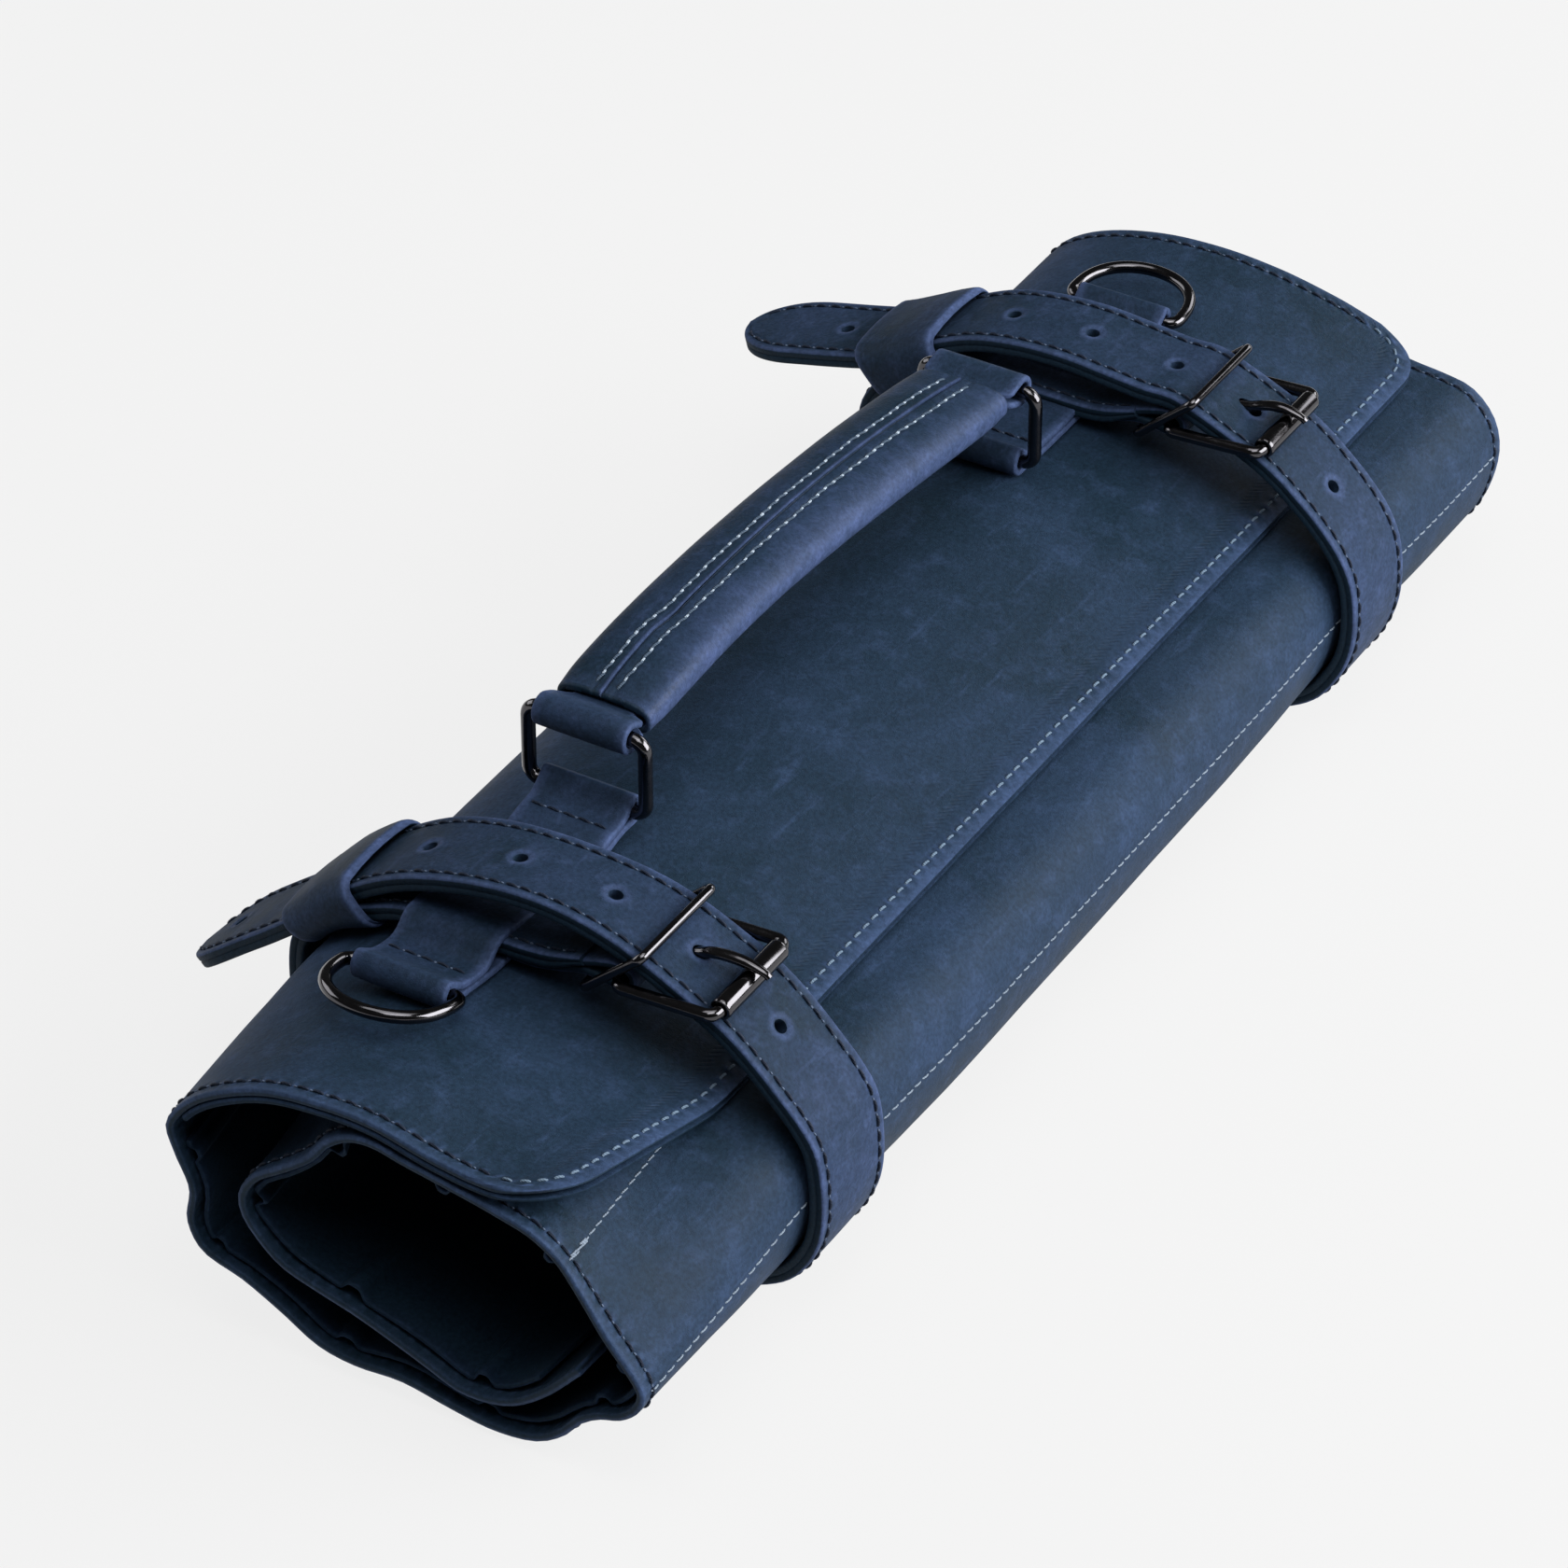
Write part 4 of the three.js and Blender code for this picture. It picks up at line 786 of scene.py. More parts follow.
# ------------------------------------------------------------------ stitches
def stitch_mesh(soup, P, N, pitch, length, r, lift=0.10, skew=0.10, depth=0.45, beads=None, bead=(0.25, 0.42)):
    """A run of separate stitches along P (mm), N the outward normals."""
    L = arclen(P)
    total = L[-1]
    n = max(1, int(total // pitch))
    pitch = total / n
    T = tangents(P)
    sides = 7
    prof = np.array([-0.5, -0.44, -0.30, 0.0, 0.30, 0.44, 0.5])
    high = np.array([-depth, 0.0, 0.6, 1.0, 0.6, 0.0, -depth])
    rad = np.array([0.7, 0.95, 1.0, 1.0, 1.0, 0.95, 0.7])
    for i in range(n):
        c = (i + 0.5) * pitch + rng.uniform(-0.06, 0.06) * pitch
        s = np.clip(c + prof * length, 0, total)
        Q = np.stack([np.interp(s, L, P[:, k]) for k in range(3)], axis=1)
        NN = np.stack([np.interp(s, L, N[:, k]) for k in range(3)], axis=1)
        TT = np.stack([np.interp(s, L, T[:, k]) for k in range(3)], axis=1)
        NN /= np.linalg.norm(NN, axis=1, keepdims=True)
        W = np.cross(TT, NN)
        sk = skew * length * (1 + rng.uniform(-0.3, 0.3))
        Q = Q + NN * (r * (high * 0.75)[:, None] + lift) + W * (prof * sk)[:, None]
        V, F = sweep(Q, r * rad, sides, False, up=NN[3])
        V[:, 2] = np.maximum(V[:, 2], -RAISE + 0.02)
        soup.add(to_world(V), F, 0)
        # a small pale bead at the hole between stitches: painted highlight on the thread there
        if beads is not None and i < n - 1:
            c = (i + 1.0) * pitch + rng.uniform(-0.05, 0.05) * pitch
            s = np.clip(c + bead[1] * np.array([-1.0, -0.5, 0.5, 1.0]), 0, total)
            Q = np.stack([np.interp(s, L, P[:, k]) for k in range(3)], axis=1)
            NN = np.stack([np.interp(s, L, N[:, k]) for k in range(3)], axis=1)
            NN /= np.linalg.norm(NN, axis=1, keepdims=True)
            b_ = rng.uniform(0.8, 1.15)
            V, F = sweep(Q + NN * (lift - 0.02 + 0.3 * (bead[0] - 0.25)), bead[0] * b_ * np.array([0.4, 1, 1, 0.4]), 6, False, up=NN[1])
            V[:, 2] = np.maximum(V[:, 2], -RAISE + 0.02)
            beads.add(to_world(V), F, 0)


def cover_line(ts_, xs_, depth=0.0, trim=True):
    """3-D line on the cover's outer face at matched (t, x) pairs."""
    P, N = [], []
    for t, x in zip(ts_, xs_):
        y, z, ny, nz = cover_points(x, np.array([t]), depth, trim)
        P.append((x, y[0], z[0]))
        N.append((0, ny[0], nz[0]))
    return np.array(P), np.array(N)


def run(n, a, b):
    return np.linspace(a, b, n)


light = Soup()
# flap's long edge, pale
cr = FLAP_R - 4.0
ca_ = np.radians(np.linspace(90, 8, 26))
cx_ = np.concatenate([-(LENGTH / 2 - FLAP_R) - cr * np.sin(ca_), run(200, -208, 208), (LENGTH / 2 - FLAP_R) + cr * np.sin(ca_[::-1])])
ct_ = np.concatenate([FLAP_R - cr * np.cos(ca_), np.full(200, 4.0), FLAP_R - cr * np.cos(ca_[::-1])])
P, N = cover_line(ct_, cx_, 0.0, False)
stitch_mesh(light, P, N, 4.3, 2.35, 0.35, 0.0)
st_light = light.build("stitches_flap_edge", M_THREAD_L)
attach(st_light, "roll")

dark = Soup()
glint = Soup()
# down both ends of the sheet
for end in (-1, 1):
    for a, b in ((20.0, END["flap"] + 20), (END["flap"] + 24, END["bottom"]), (END["bottom"] + 4, FLAT_L - 8)):
        tr = run(240, a, b)
        P, N = cover_line(tr, np.full(240, end * 226.0), 0.0, False)
        stitch_mesh(dark, P, N, 4.6, 3.0, 0.36, 0.0, beads=glint)
st_glint = glint.build("stitch_glint_beads_sheet_ends", M_THREAD_HIGHLIGHT)
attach(st_glint, "roll")
st_dark = dark.build("stitches_sheet_ends", M_THREAD_D)
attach(st_dark, "roll")

pale = Soup()
for k in (0, 1):
    sx_ = run(220, -227, 226)
    P, N = cover_line(seam_t(sx_) if k == 0 else np.full(220, SEAM2_T), sx_)
    stitch_mesh(pale, P, N, 3.6, 2.8, 0.24, -0.04)
# the thread is sewn back and forth where the upper seam starts
for off in (-0.35, 0.0, 0.4):
    sx_ = run(30, -227 + abs(off), -217)
    P, N = cover_line(seam_t(sx_) + off, sx_)
    stitch_mesh(pale, P, N, 3.3, 3.1, 0.26, 0.05)
st_pale = pale.build("stitches_pocket_seams", M_THREAD_W)
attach(st_pale, "roll")


ARM = {
    "near": [[-20.5, 84.7], [-26, 85.0], [-31, 85.3], [-34.6, 86.3], [-38, 87.7], [-42.5, 88.5], [-48.6, 88.4], [-53.4, 87.2]],
    "far": [[-20.5, 84.7], [-26, 85.0], [-33, 85.2], [-37.4, 85.9], [-41, 87.2], [-44.5, 88.2], [-48.6, 88.4], [-53.4, 87.2]],
}


# ------------------------------------------------------------------ belts
def belt_path(rows):
    T2 = tangents(MIDP)
    n_in = np.stack([T2[:, 1], -T2[:, 0]], axis=1)
    wrap = MIDP - n_in * RAISE
    m = (FLATS > END["flap"] + 6) & (FLATS < END["front"] - 6)
    wrap = wrap[m][::-1][::40]
    wrap[:, 1] = np.maximum(wrap[:, 1], -RAISE)
    head, tail = rows["tongue"], rows["back"]
    z0 = head[-1][1]
    keep = [p for p in wrap if (p[1] < z0 - 7 if p[0] < 0 else p[1] < tail[0][1] - 7)]
    out = []
    for y, z in keep:
        if y < -60:
            if head[-1][0] < -78:
                y = y - 2 * min(1, max(0, (z - 5) / 30))
            else:
                y = y - 0.8 * min(1, max(0, (z - 2) / 16))
        out.append([y, z])
    P = catmull(head + out + tail, 16)
    P[:, 1] = np.maximum(P[:, 1], -RAISE)
    return P


def strap_section(w, T, crown=0.25, seam=True, fine=11):
    """Half-width w, thickness T: points (u, v), v from 0 outer to T inner,
    counter-clockwise, with rounded corners and a line between the layers."""
    r = min(0.75, w * 0.5)
    a = np.linspace(0, np.pi / 2, 5)
    pts = []
    for f in np.linspace(-1, 1, fine)[1:-1]:
        pts.append((f * (w - r), -crown * (1 - f * f) * 0.6))
    for q in a:
        pts.append((w - r + r * math.sin(q), r - r * math.cos(q)))
    if seam:
        pts += [(w, T / 2 - 0.35), (w - 0.28, T / 2), (w, T / 2 + 0.35)]
    for q in a:
        pts.append((w - r + r * math.cos(q), T - r + r * math.sin(q)))
    for f in np.linspace(1, -1, 7)[1:-1]:
        pts.append((f * (w - r), T))
    for q in a:
        pts.append((-w + r - r * math.sin(q), T - r + r * math.cos(q)))
    if seam:
        pts += [(-w, T / 2 + 0.35), (-w + 0.28, T / 2), (-w, T / 2 - 0.35)]
    for q in a:
        pts.append((-w + r - r * math.cos(q), r - r * math.sin(q)))
    return np.array(pts)


def band(path, xc, w, T, width_at=None, tilt_at=None, crown=0.25, seam=True, groove_at=3.0, thick_at=None, shift_at=None, holes=(), fine=11):
    """Leather band of width 2w along a (y, z) path, outer face on the path.
    Rows of the section: finer near the stitched edges."""
    P = np.asarray(path, float)
    n = len(P)
    T2 = tangents(P)
    nin = np.stack([-T2[:, 1], T2[:, 0]], axis=1)
    L = arclen(P)
    base = strap_section(1.0, 1.0, 0, seam, fine)
    verts, wear_and_painted_light = [], []
    for i in range(n):
        wi = width_at(L[i], L[-1]) if width_at else w
        Ti = thick_at(L[i], L[-1]) if thick_at else T
        sec = strap_section(max(wi, 0.4), Ti, crown, seam, fine)
        ti = tilt_at(P[i]) if tilt_at else 0.0
        xs_ = xc + (shift_at(L[i]) if shift_at else 0.0)
        for u, v in sec:
            g = 0.0
            if groove_at and v < Ti * 0.3 and wi > groove_at + 2:
                g = 0.30 * math.exp(-((abs(u) - (wi - groove_at)) / 0.7) ** 2)
            hw_ = 0.0
            if holes and v < Ti * 0.3:
                for hs in holes:
                    if abs(L[i] - hs) < 8:
                        dd = math.hypot(L[i] - hs, u)
                        g += 0.30 * math.exp(-((dd - 1.6) / 0.9) ** 2) - 0.16 * math.exp(-((dd - 3.6) / 1.0) ** 2)
                        hw_ = max(hw_, 0.55 * math.exp(-((dd - 2.8) / 0.9) ** 2))
            vv = v + g
            verts.append((xs_ + u, P[i, 0] + nin[i, 0] * vv, P[i, 1] + nin[i, 1] * vv + ti * u))
            edge = wi - abs(u)
            # painted shade on the lower part of each side face; elsewhere lighter near the outer edges and round the
            # holes
            side_painted_shade = edge < 0.9 and v > 0.55
            wear_and_painted_light.append(-0.55 if side_painted_shade else max(hw_, 0.62 * math.exp(-(edge / 1.5) ** 2)))
    m = len(base)
    return np.array(verts), tube_faces(n, m, False), np.array(wear_and_painted_light)


def tip_width(s, total, w=BELT_W / 2):
    if s >= 21:
        return w
    q = 1 - s / 21
    return w * math.sqrt(max(0.0006, 1 - q**2.25))


def resample(P, step, fine=()):
    L = arclen(P)
    s = set(np.round(np.linspace(0, L[-1], int(L[-1] / step) + 1), 4))
    for a, b_, d in fine:
        s |= set(np.round(np.arange(a, b_, d), 4))
    s = np.array(sorted(s))
    s = s[np.concatenate([[True], np.diff(s) > 0.05])]
    return at_len(P, s)


def boolean(ob, cutters, op="DIFFERENCE"):
    fix_normals(ob)
    for c in cutters:
        fix_normals(c)
    for c in cutters:
        md = ob.modifiers.new("cut", "BOOLEAN")
        md.operation = op
        md.solver = "EXACT"
        md.object = c
    dg = bpy.context.evaluated_depsgraph_get()
    me = bpy.data.meshes.new_from_object(ob.evaluated_get(dg))
    ob.modifiers.clear()
    old = ob.data
    ob.data = me
    bpy.data.meshes.remove(old)
    for c in cutters:
        d = c.data
        bpy.data.objects.remove(c)
        bpy.data.meshes.remove(d)


def capsule(p0, p1, r, name="cutter", sides=24):
    """A closed cylinder from p0 to p1 (mm)."""
    d = np.array(p1, float) - np.array(p0, float)
    up = (1, 0, 0)
    path = np.array([p0, p1], float)
    V, F = sweep(path, r, sides, False, up=up)
    return make_mesh(name, to_world(V), F, None, False)


def tilt_near(p):
    return -0.10 * math.exp(-((p[0] - 2) / 26) ** 2) if p[1] > 70 else 0.0


def tilt_far(p):
    return 0.0


for side in ("near", "far"):
    rows = BELTS[side]
    xc = -BELT_X if side == "near" else BELT_X
    path = belt_path(rows)
    full = arclen(path)[-1]
    # the double belt stops short of the bar, where one layer goes on round it
    stop = full - 9.0
    Lq = arclen(path)
    hole_s = []
    for y in rows["holes"] + ([-34.8] if side == "near" else [-39.2]):
        cand = [k for k in range(len(path) // 2) if path[k, 1] > 20]
        hole_s.append(float(Lq[min(cand, key=lambda k: abs(path[k, 0] - y))]))
    Pm = resample(at_len(path, np.linspace(0, stop, 1200)), 2.6, [(0, 4, 0.45), (4, 24, 1.4)] + [(h_ - 5.4, h_ + 5.4, 0.6) for h_ in hole_s])
    tilt = tilt_near if side == "near" else tilt_far

    def thick(s, total, stop=stop):
        return BELT_T if s < total - 12 else BELT_T * (1 - 0.42 * smoothstep(total - 12, total, s))
    V, F, W = band(Pm, xc, BELT_W / 2, BELT_T, tip_width, tilt, thick_at=thick, holes=hole_s, fine=35)
    # painted light down the front run of the belt, the side the key lamp lights, with some rub at the bend
    W = np.where(W > -0.1, W + 0.34 * (1 - smoothstep(-84, -58, V[:, 1])), W)
    soup = Soup()
    soup.add(to_world(V), F, W)
    strap = soup.build("belt_" + side, M_BELT, angle=42)
    # holes
    T2 = tangents(path)
    nin = np.stack([-T2[:, 1], T2[:, 0]], axis=1)
    half = len(path) // 2
    cutters = []
    hole_at = []
    for y in rows["holes"]:
        cand = [i for i in range(half) if path[i, 1] > 20]
        i = min(cand, key=lambda k: abs(path[k, 0] - y))
        c = np.array([xc, path[i, 0], path[i, 1]])
        n3 = np.array([0, nin[i, 0], nin[i, 1]])
        hole_at.append((c, n3))
        cutters.append(capsule(c - n3 * 3, c + n3 * 9, 1.9))
    # the prong's hole, drawn long by it
    py = -34.8 if side == "near" else -39.2
    i = min(cand, key=lambda k: abs(path[k, 0] - py))
    c = np.array([xc, path[i, 0], path[i, 1]])
    n3 = np.array([0, nin[i, 0], nin[i, 1]])
    cutters.append(capsule(c - n3 * 3, c + n3 * 9, 2.0))
    arm = catmull(ARM[side], 8)
    arm3 = np.stack([np.full(len(arm), xc), arm[:, 0], arm[:, 1]], axis=1)
    V, F = sweep(arm3, 1.75, 16, False, up=(1, 0, 0))
    cutters.append(make_mesh("cutter", to_world(V), F, None, False))
    boolean(strap, cutters)
    strap.data.polygons.foreach_set("use_smooth", [True] * len(strap.data.polygons))
    strap.data.set_sharp_from_angle(angle=math.radians(42))
    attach(strap, "roll")

    # the single layer round the bar, with the slot for the prong
    loopR = 1.75 + GAP + 2.2
    ang = np.radians(np.arange(100, 262, 9.0))
    bend = np.stack([BAR[0] + loopR * np.cos(ang), BAR[1] + loopR * np.sin(ang)], axis=1)
    tail = at_len(path, np.linspace(full - 22, full, 12))
    under = [[-14.5, 78.9], [-11.4, 79.2], [-8.4, 78.8], [-3, 77.1], [4, 75.5], [12, 75.25]]
    lp = catmull([list(p) for p in tail] + [list(p) for p in bend] + under, 5)
    lp = resample(lp, 1.4)
    V, F, W = band(lp, xc, BELT_W / 2 - 0.9, 2.1, crown=0.1, seam=False, groove_at=None)
    soup = Soup()
    soup.add(to_world(V), F, W)
    loop = soup.build("belt_loop_" + side, M_BELT, angle=42)
    slot = capsule((xc - 2.1, BAR[0], BAR[1]), (xc + 2.1, BAR[0], BAR[1]), 6.2, sides=32)
    boolean(loop, [slot])
    loop.data.polygons.foreach_set("use_smooth", [True] * len(loop.data.polygons))
    loop.data.set_sharp_from_angle(angle=math.radians(42))
    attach(loop, "roll")
    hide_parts("strap_" + side)

    # stitches along both edges of the belt and round its tip
    sp, bd = Soup(), Soup()
    inset = 3.0
    for sgn in (-1, 1):
        S = np.arange(3.0, stop - 1.5, 1.0)
        Q = at_len(path, S)
        TQ = tangents(Q)
        NQ = np.stack([TQ[:, 1], -TQ[:, 0]], axis=1)
        pts, nrm = [], []
        for k, s in enumerate(S):
            wv = max(0.0, tip_width(s, full) - inset)
            ti = tilt(Q[k])
            pts.append((xc + sgn * wv, Q[k, 0], Q[k, 1] + ti * sgn * wv))
            nrm.append((0, NQ[k, 0], NQ[k, 1]))
        stitch_mesh(sp, np.array(pts), np.array(nrm), 4.6, 2.95, 0.38, -0.02, beads=bd)
    so = bd.build("belt_stitch_glint_beads_" + side, M_THREAD_HIGHLIGHT)
    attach(so, "roll")
    so = sp.build("belt_stitches_" + side, M_THREAD_D)
    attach(so, "roll")

    # ---------------------------------------------------------- keeper
    Lp = arclen(path)
    cy, cz = (67.0, 70.5) if side == "near" else (64.6, 77.4)
    top_i = min(range(half), key=lambda k: math.hypot(path[k, 0] - cy, path[k, 1] - cz))
    st = Lp[top_i]
    inner_path = path + nin * BELT_T
    bi = min(range(half, len(path) - 100), key=lambda k: math.hypot(inner_path[k, 0] - cy, inner_path[k, 1] - cz))
    Li = arclen(inner_path)
    sb = Li[bi]
    rings_o, rings_i = [], []
    vv = np.array([-1, -0.985, -0.955, -0.91, -0.82, -0.6, -0.35, -0.1, 0.1, 0.35, 0.6, 0.82, 0.91, 0.955, 0.985, 1])
    nk = len(vv)

    def rrect(hw, hh, r, seg=6, per=5):
        pts_ = []
        for (sx_, sy_, a0) in ((1, 1, 0), (-1, 1, 90), (-1, -1, 180), (1, -1, 270)):
            for q in range(seg + 1):
                a = math.radians(a0 + 90 * q / seg)
                pts_.append((sx_ * (hw - r) + r * math.cos(a), sy_ * (hh - r) + r * math.sin(a)))
        out_ = []
        for q in range(len(pts_)):
            a, b_ = np.array(pts_[q]), np.array(pts_[(q + 1) % len(pts_)])
            k_ = per if q % (seg + 1) == seg else 1
            for j_ in range(k_):
                out_.append(a + (b_ - a) * j_ / k_)
        return out_
    for v in vv:
        puff = 0.5 * (1 - v * v)
        for store, grow, longer in ((rings_i, 0.0, 0.5), (rings_o, 1.95, -0.4)):
            top = at_len(path - nin * (GAP + 0.12), [st + v * (13.6 + longer)])[0]
            bot = at_len(inner_path + nin * (GAP + 0.1), [sb + v * (12.4 + longer)])[0]
            c = (top + bot) / 2
            h = np.linalg.norm(top - bot) / 2
            d = (top - bot) / (2 * h)
            hw, hh = BELT_W / 2 + GAP + grow, h + grow
            ring = []
            qe = max(0.0, (abs(v) - 0.92) / 0.08)
            edge = 0.8 * (1 - math.sqrt(max(0.0, 1 - qe * qe)))
            for u, w_ in rrect(hw - (edge if grow else -edge * 0.5), hh - (edge if grow else -edge * 0.5), 5.0 if grow else 2.4):
                fu, fw = u / hw, w_ / hh
                stand = 1.25 * max(0.0, 1 - fu * fu) if w_ > 0 else 0.0
                bow = 0.75 * max(0.0, 1 - fw * fw) * math.copysign(1, u)
                if grow:
                    u += puff * 0.5 * fu * (1 - abs(fw) ** 3)
                    w_ += (puff * 1.0 if w_ > 0 else 0.2 * puff) * (1 - 0.55 * fu * fu) * math.copysign(1, w_) * (1 if abs(fw) > 0.9 else abs(fw))
                u, w_ = u + bow, w_ + stand
                ring.append((xc + u, c[0] + d[0] * w_, c[1] + d[1] * w_))
            store.append(ring)
    ro, ri = np.array(rings_o), np.array(rings_i)
    n, m = nk, ro.shape[1]
    V = np.vstack([ro.reshape(-1, 3), ri.reshape(-1, 3)])
    F = []
    for i in range(n - 1):
        for k in range(m):
            k2 = (k + 1) % m
            F.append((i * m + k, i * m + k2, (i + 1) * m + k2, (i + 1) * m + k))
            F.append((n * m + i * m + k, n * m + (i + 1) * m + k, n * m + (i + 1) * m + k2, n * m + i * m + k2))
    for k in range(m):
        k2 = (k + 1) % m
        F.append((k, n * m + k, n * m + k2, k2))
        F.append(((n - 1) * m + k, (n - 1) * m + k2, n * m + (n - 1) * m + k2, n * m + (n - 1) * m + k))
    keeper_wear_and_light = np.zeros(len(V))
    for i in range(n):
        keeper_wear_and_light[i * m:(i + 1) * m] = 0.95 * math.exp(-((1 - abs(vv[i])) * 13.6 / 1.3) ** 2) + 0.05
    # the inner end rings are painted light as well, lifting the end faces out of the belt's shadow over their paler
    # cut edge
    keeper_wear_and_light[n * m:n * m + m] = keeper_wear_and_light[-m:] = 0.9
    ke = make_mesh("belt_keeper_" + side, to_world(V), F, M_BELT, True, 45, {"wear_and_painted_light": keeper_wear_and_light})
    fix_normals(ke)
    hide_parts("keeper_" + side)
    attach(ke, "roll")


# ------------------------------------------------------------------ metal
def rounded_rect(w, h, r0, r1, seg=10, straight=10):
    pts = []

    def arc(cu, cv, r, a0):
        for i in range(seg + 1):
            a = a0 + (math.pi / 2) * i / seg
            pts.append((cu + r * math.cos(a), cv + r * math.sin(a)))
    arc(w / 2 - r1, h - r1, r1, 0)
    arc(-w / 2 + r1, h - r1, r1, math.pi / 2)
    arc(-w / 2 + r0, r0, r0, math.pi)
    arc(w / 2 - r0, r0, r0, 1.5 * math.pi)
    P = np.array(pts)
    out = []
    n = len(P)
    for i in range(n):
        a, b_ = P[i], P[(i + 1) % n]
        d = np.linalg.norm(b_ - a)
        k = max(1, int(d / 2.0))
        for j in range(k):
            out.append(a + (b_ - a) * j / k)
    return np.array(out)


def wire_loop(name, pts, up, r, node_name, body, sides=18, flat=None):
    V, F = sweep(pts, r, sides, True, up=up, section=flat)
    ob = make_mesh(name, to_world(V), F, M_METAL, True, 60)
    fix_normals(ob)
    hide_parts(node_name)
    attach(ob, body)
    return ob


def unit(v):
    v = np.asarray(v, float)
    return v / np.linalg.norm(v)


for side in ("near", "far"):
    xc = -BELT_X if side == "near" else BELT_X
    # buckle frame
    dirv = np.array([0, FRONT[0] - BAR[0], FRONT[1] - BAR[1]], float)
    h = np.linalg.norm(dirv)
    dirv /= h
    loop = rounded_rect(34.2, h, 2.6, 2.6)
    pts = np.array([(xc + u, BAR[0] + dirv[1] * v, BAR[1] + dirv[2] * v) for u, v in loop])
    nrm = np.cross((1, 0, 0), dirv)
    wire_loop("buckle_" + side, pts, nrm, 1.75, "buckle_frame_" + side, "roll")
    # metal keeper
    top, bot = LOOPER_TOP[side], LOOPER_BOT
    d2 = np.array([0, top[0] - bot[0], top[1] - bot[1]], float)
    h2 = np.linalg.norm(d2)
    d2 /= h2
    w = BELT_W + 2 * (GAP + 0.05) + 2 * 1.3
    loop = rounded_rect(w, h2, 1.9, 1.9)
    pts = np.array([(xc + u, bot[0] + d2[1] * v, bot[1] + d2[2] * v) for u, v in loop])
    wire_loop("wire_keeper_" + side, pts, np.cross((1, 0, 0), d2), 1.3, "metal_keeper_" + side, "roll")
    # roller: a rolled tube with rounded ends and a slit under it
    prof = [(2.05, -14.0), (2.35, -14.0), (2.7, -13.85), (2.9, -13.5), (2.95, -13.0), (2.95, 13.0), (2.9, 13.5), (2.7, 13.85), (2.35, 14.0), (2.05, 14.0)]
    nseg = 40
    V, F = [], []
    gap = math.radians(7)
    angs = np.linspace(math.radians(-90) + gap / 2, math.radians(270) - gap / 2, nseg)
    for a in angs:
        for r, u in prof:
            V.append((xc + u, FRONT[0] + r * math.cos(a), FRONT[1] + r * math.sin(a)))
    m = len(prof)
    for i in range(nseg - 1):
        for k in range(m):
            k2 = (k + 1) % m
            F.append((i * m + k, i * m + k2, (i + 1) * m + k2, (i + 1) * m + k))
    F.append(tuple(range(m))[::-1])
    F.append(tuple((nseg - 1) * m + k for k in range(m)))
    ro = make_mesh("roller_" + side, to_world(V), F, M_METAL, True, 35)
    fix_normals(ro)
    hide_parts("buckle_roller_" + side)
    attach(ro, "roller_" + side)
    # prong: an eye round the bar and a tapered arm
    eye = []
    for a in np.radians(np.arange(72, 72 + 330, 8.0)):
        eye.append((BAR[0] + 3.0 * math.cos(a), BAR[1] + 3.0 * math.sin(a)))
    arm = catmull([[-20.1, 84.8]] + ARM[side][1:] + [[-54.4, 86.4]], 7)
    pathp = np.array(eye[::-1] + [tuple(p) for p in arm[1:]])
    # widen where it is flat on the bar, taper towards the tip
    Lp = arclen(pathp)
    rad = 0.95 + 0.42 * smoothstep(16, 24, Lp) - 0.45 * smoothstep(Lp[-1] - 9, Lp[-1] + 0.5, Lp)
    P3 = np.stack([np.full(len(pathp), xc), pathp[:, 0], pathp[:, 1]], axis=1)
    V, F = sweep(P3, rad, 16, False, up=(1, 0, 0), section=(1.0, 1.25))
    pr = make_mesh("prong_" + side, to_world(V), F, M_METAL, True, 60)
    fix_normals(pr)
    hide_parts("buckle_prong_" + side)
    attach(pr, "roll")
    # handle ring
    x, y, z = RING[side]
    loop = rounded_rect(34.5, LINK_H, 3.5, 3.5)
    pts = np.array([(x, y + u, z + v) for u, v in loop])
    wire_loop("link_ring_" + side, pts, (1, 0, 0), 1.9, "handle_ring_" + side, "ring_" + side, sides=20)
    # D-ring
    x, y, z, zt = DRING[side]
    out = -1 if side == "near" else 1
    DW, DR, r = 33.4, 21.0, 3.0
    pp = []
    for a in np.linspace(0, math.pi, 49):
        pp.append((DW / 2 * math.cos(a), r + (DR - r) * max(0.0, math.sin(a)) ** 0.8))
    for q in np.linspace(0, math.pi / 2, 7)[1:]:
        pp.append((-DW / 2 + r - r * math.cos(q), r - r * math.sin(q)))
    for f in np.linspace(0, 1, 14)[1:-1]:
        pp.append((-DW / 2 + r + f * (DW - 2 * r), 0))
    for q in np.linspace(math.pi / 2, 0, 7)[:-1]:
        pp.append((DW / 2 - r + r * math.cos(q), r - r * math.sin(q)))
    dv = unit((out * DR, 0, zt - z))
    pts = np.array([np.array((x, y + u, z)) + dv * v for u, v in pp])
    wire_loop("loop_ring_" + side, pts, np.cross((0, 1, 0), dv), 1.75, "d_ring_" + side, "d_ring_" + side, sides=20)


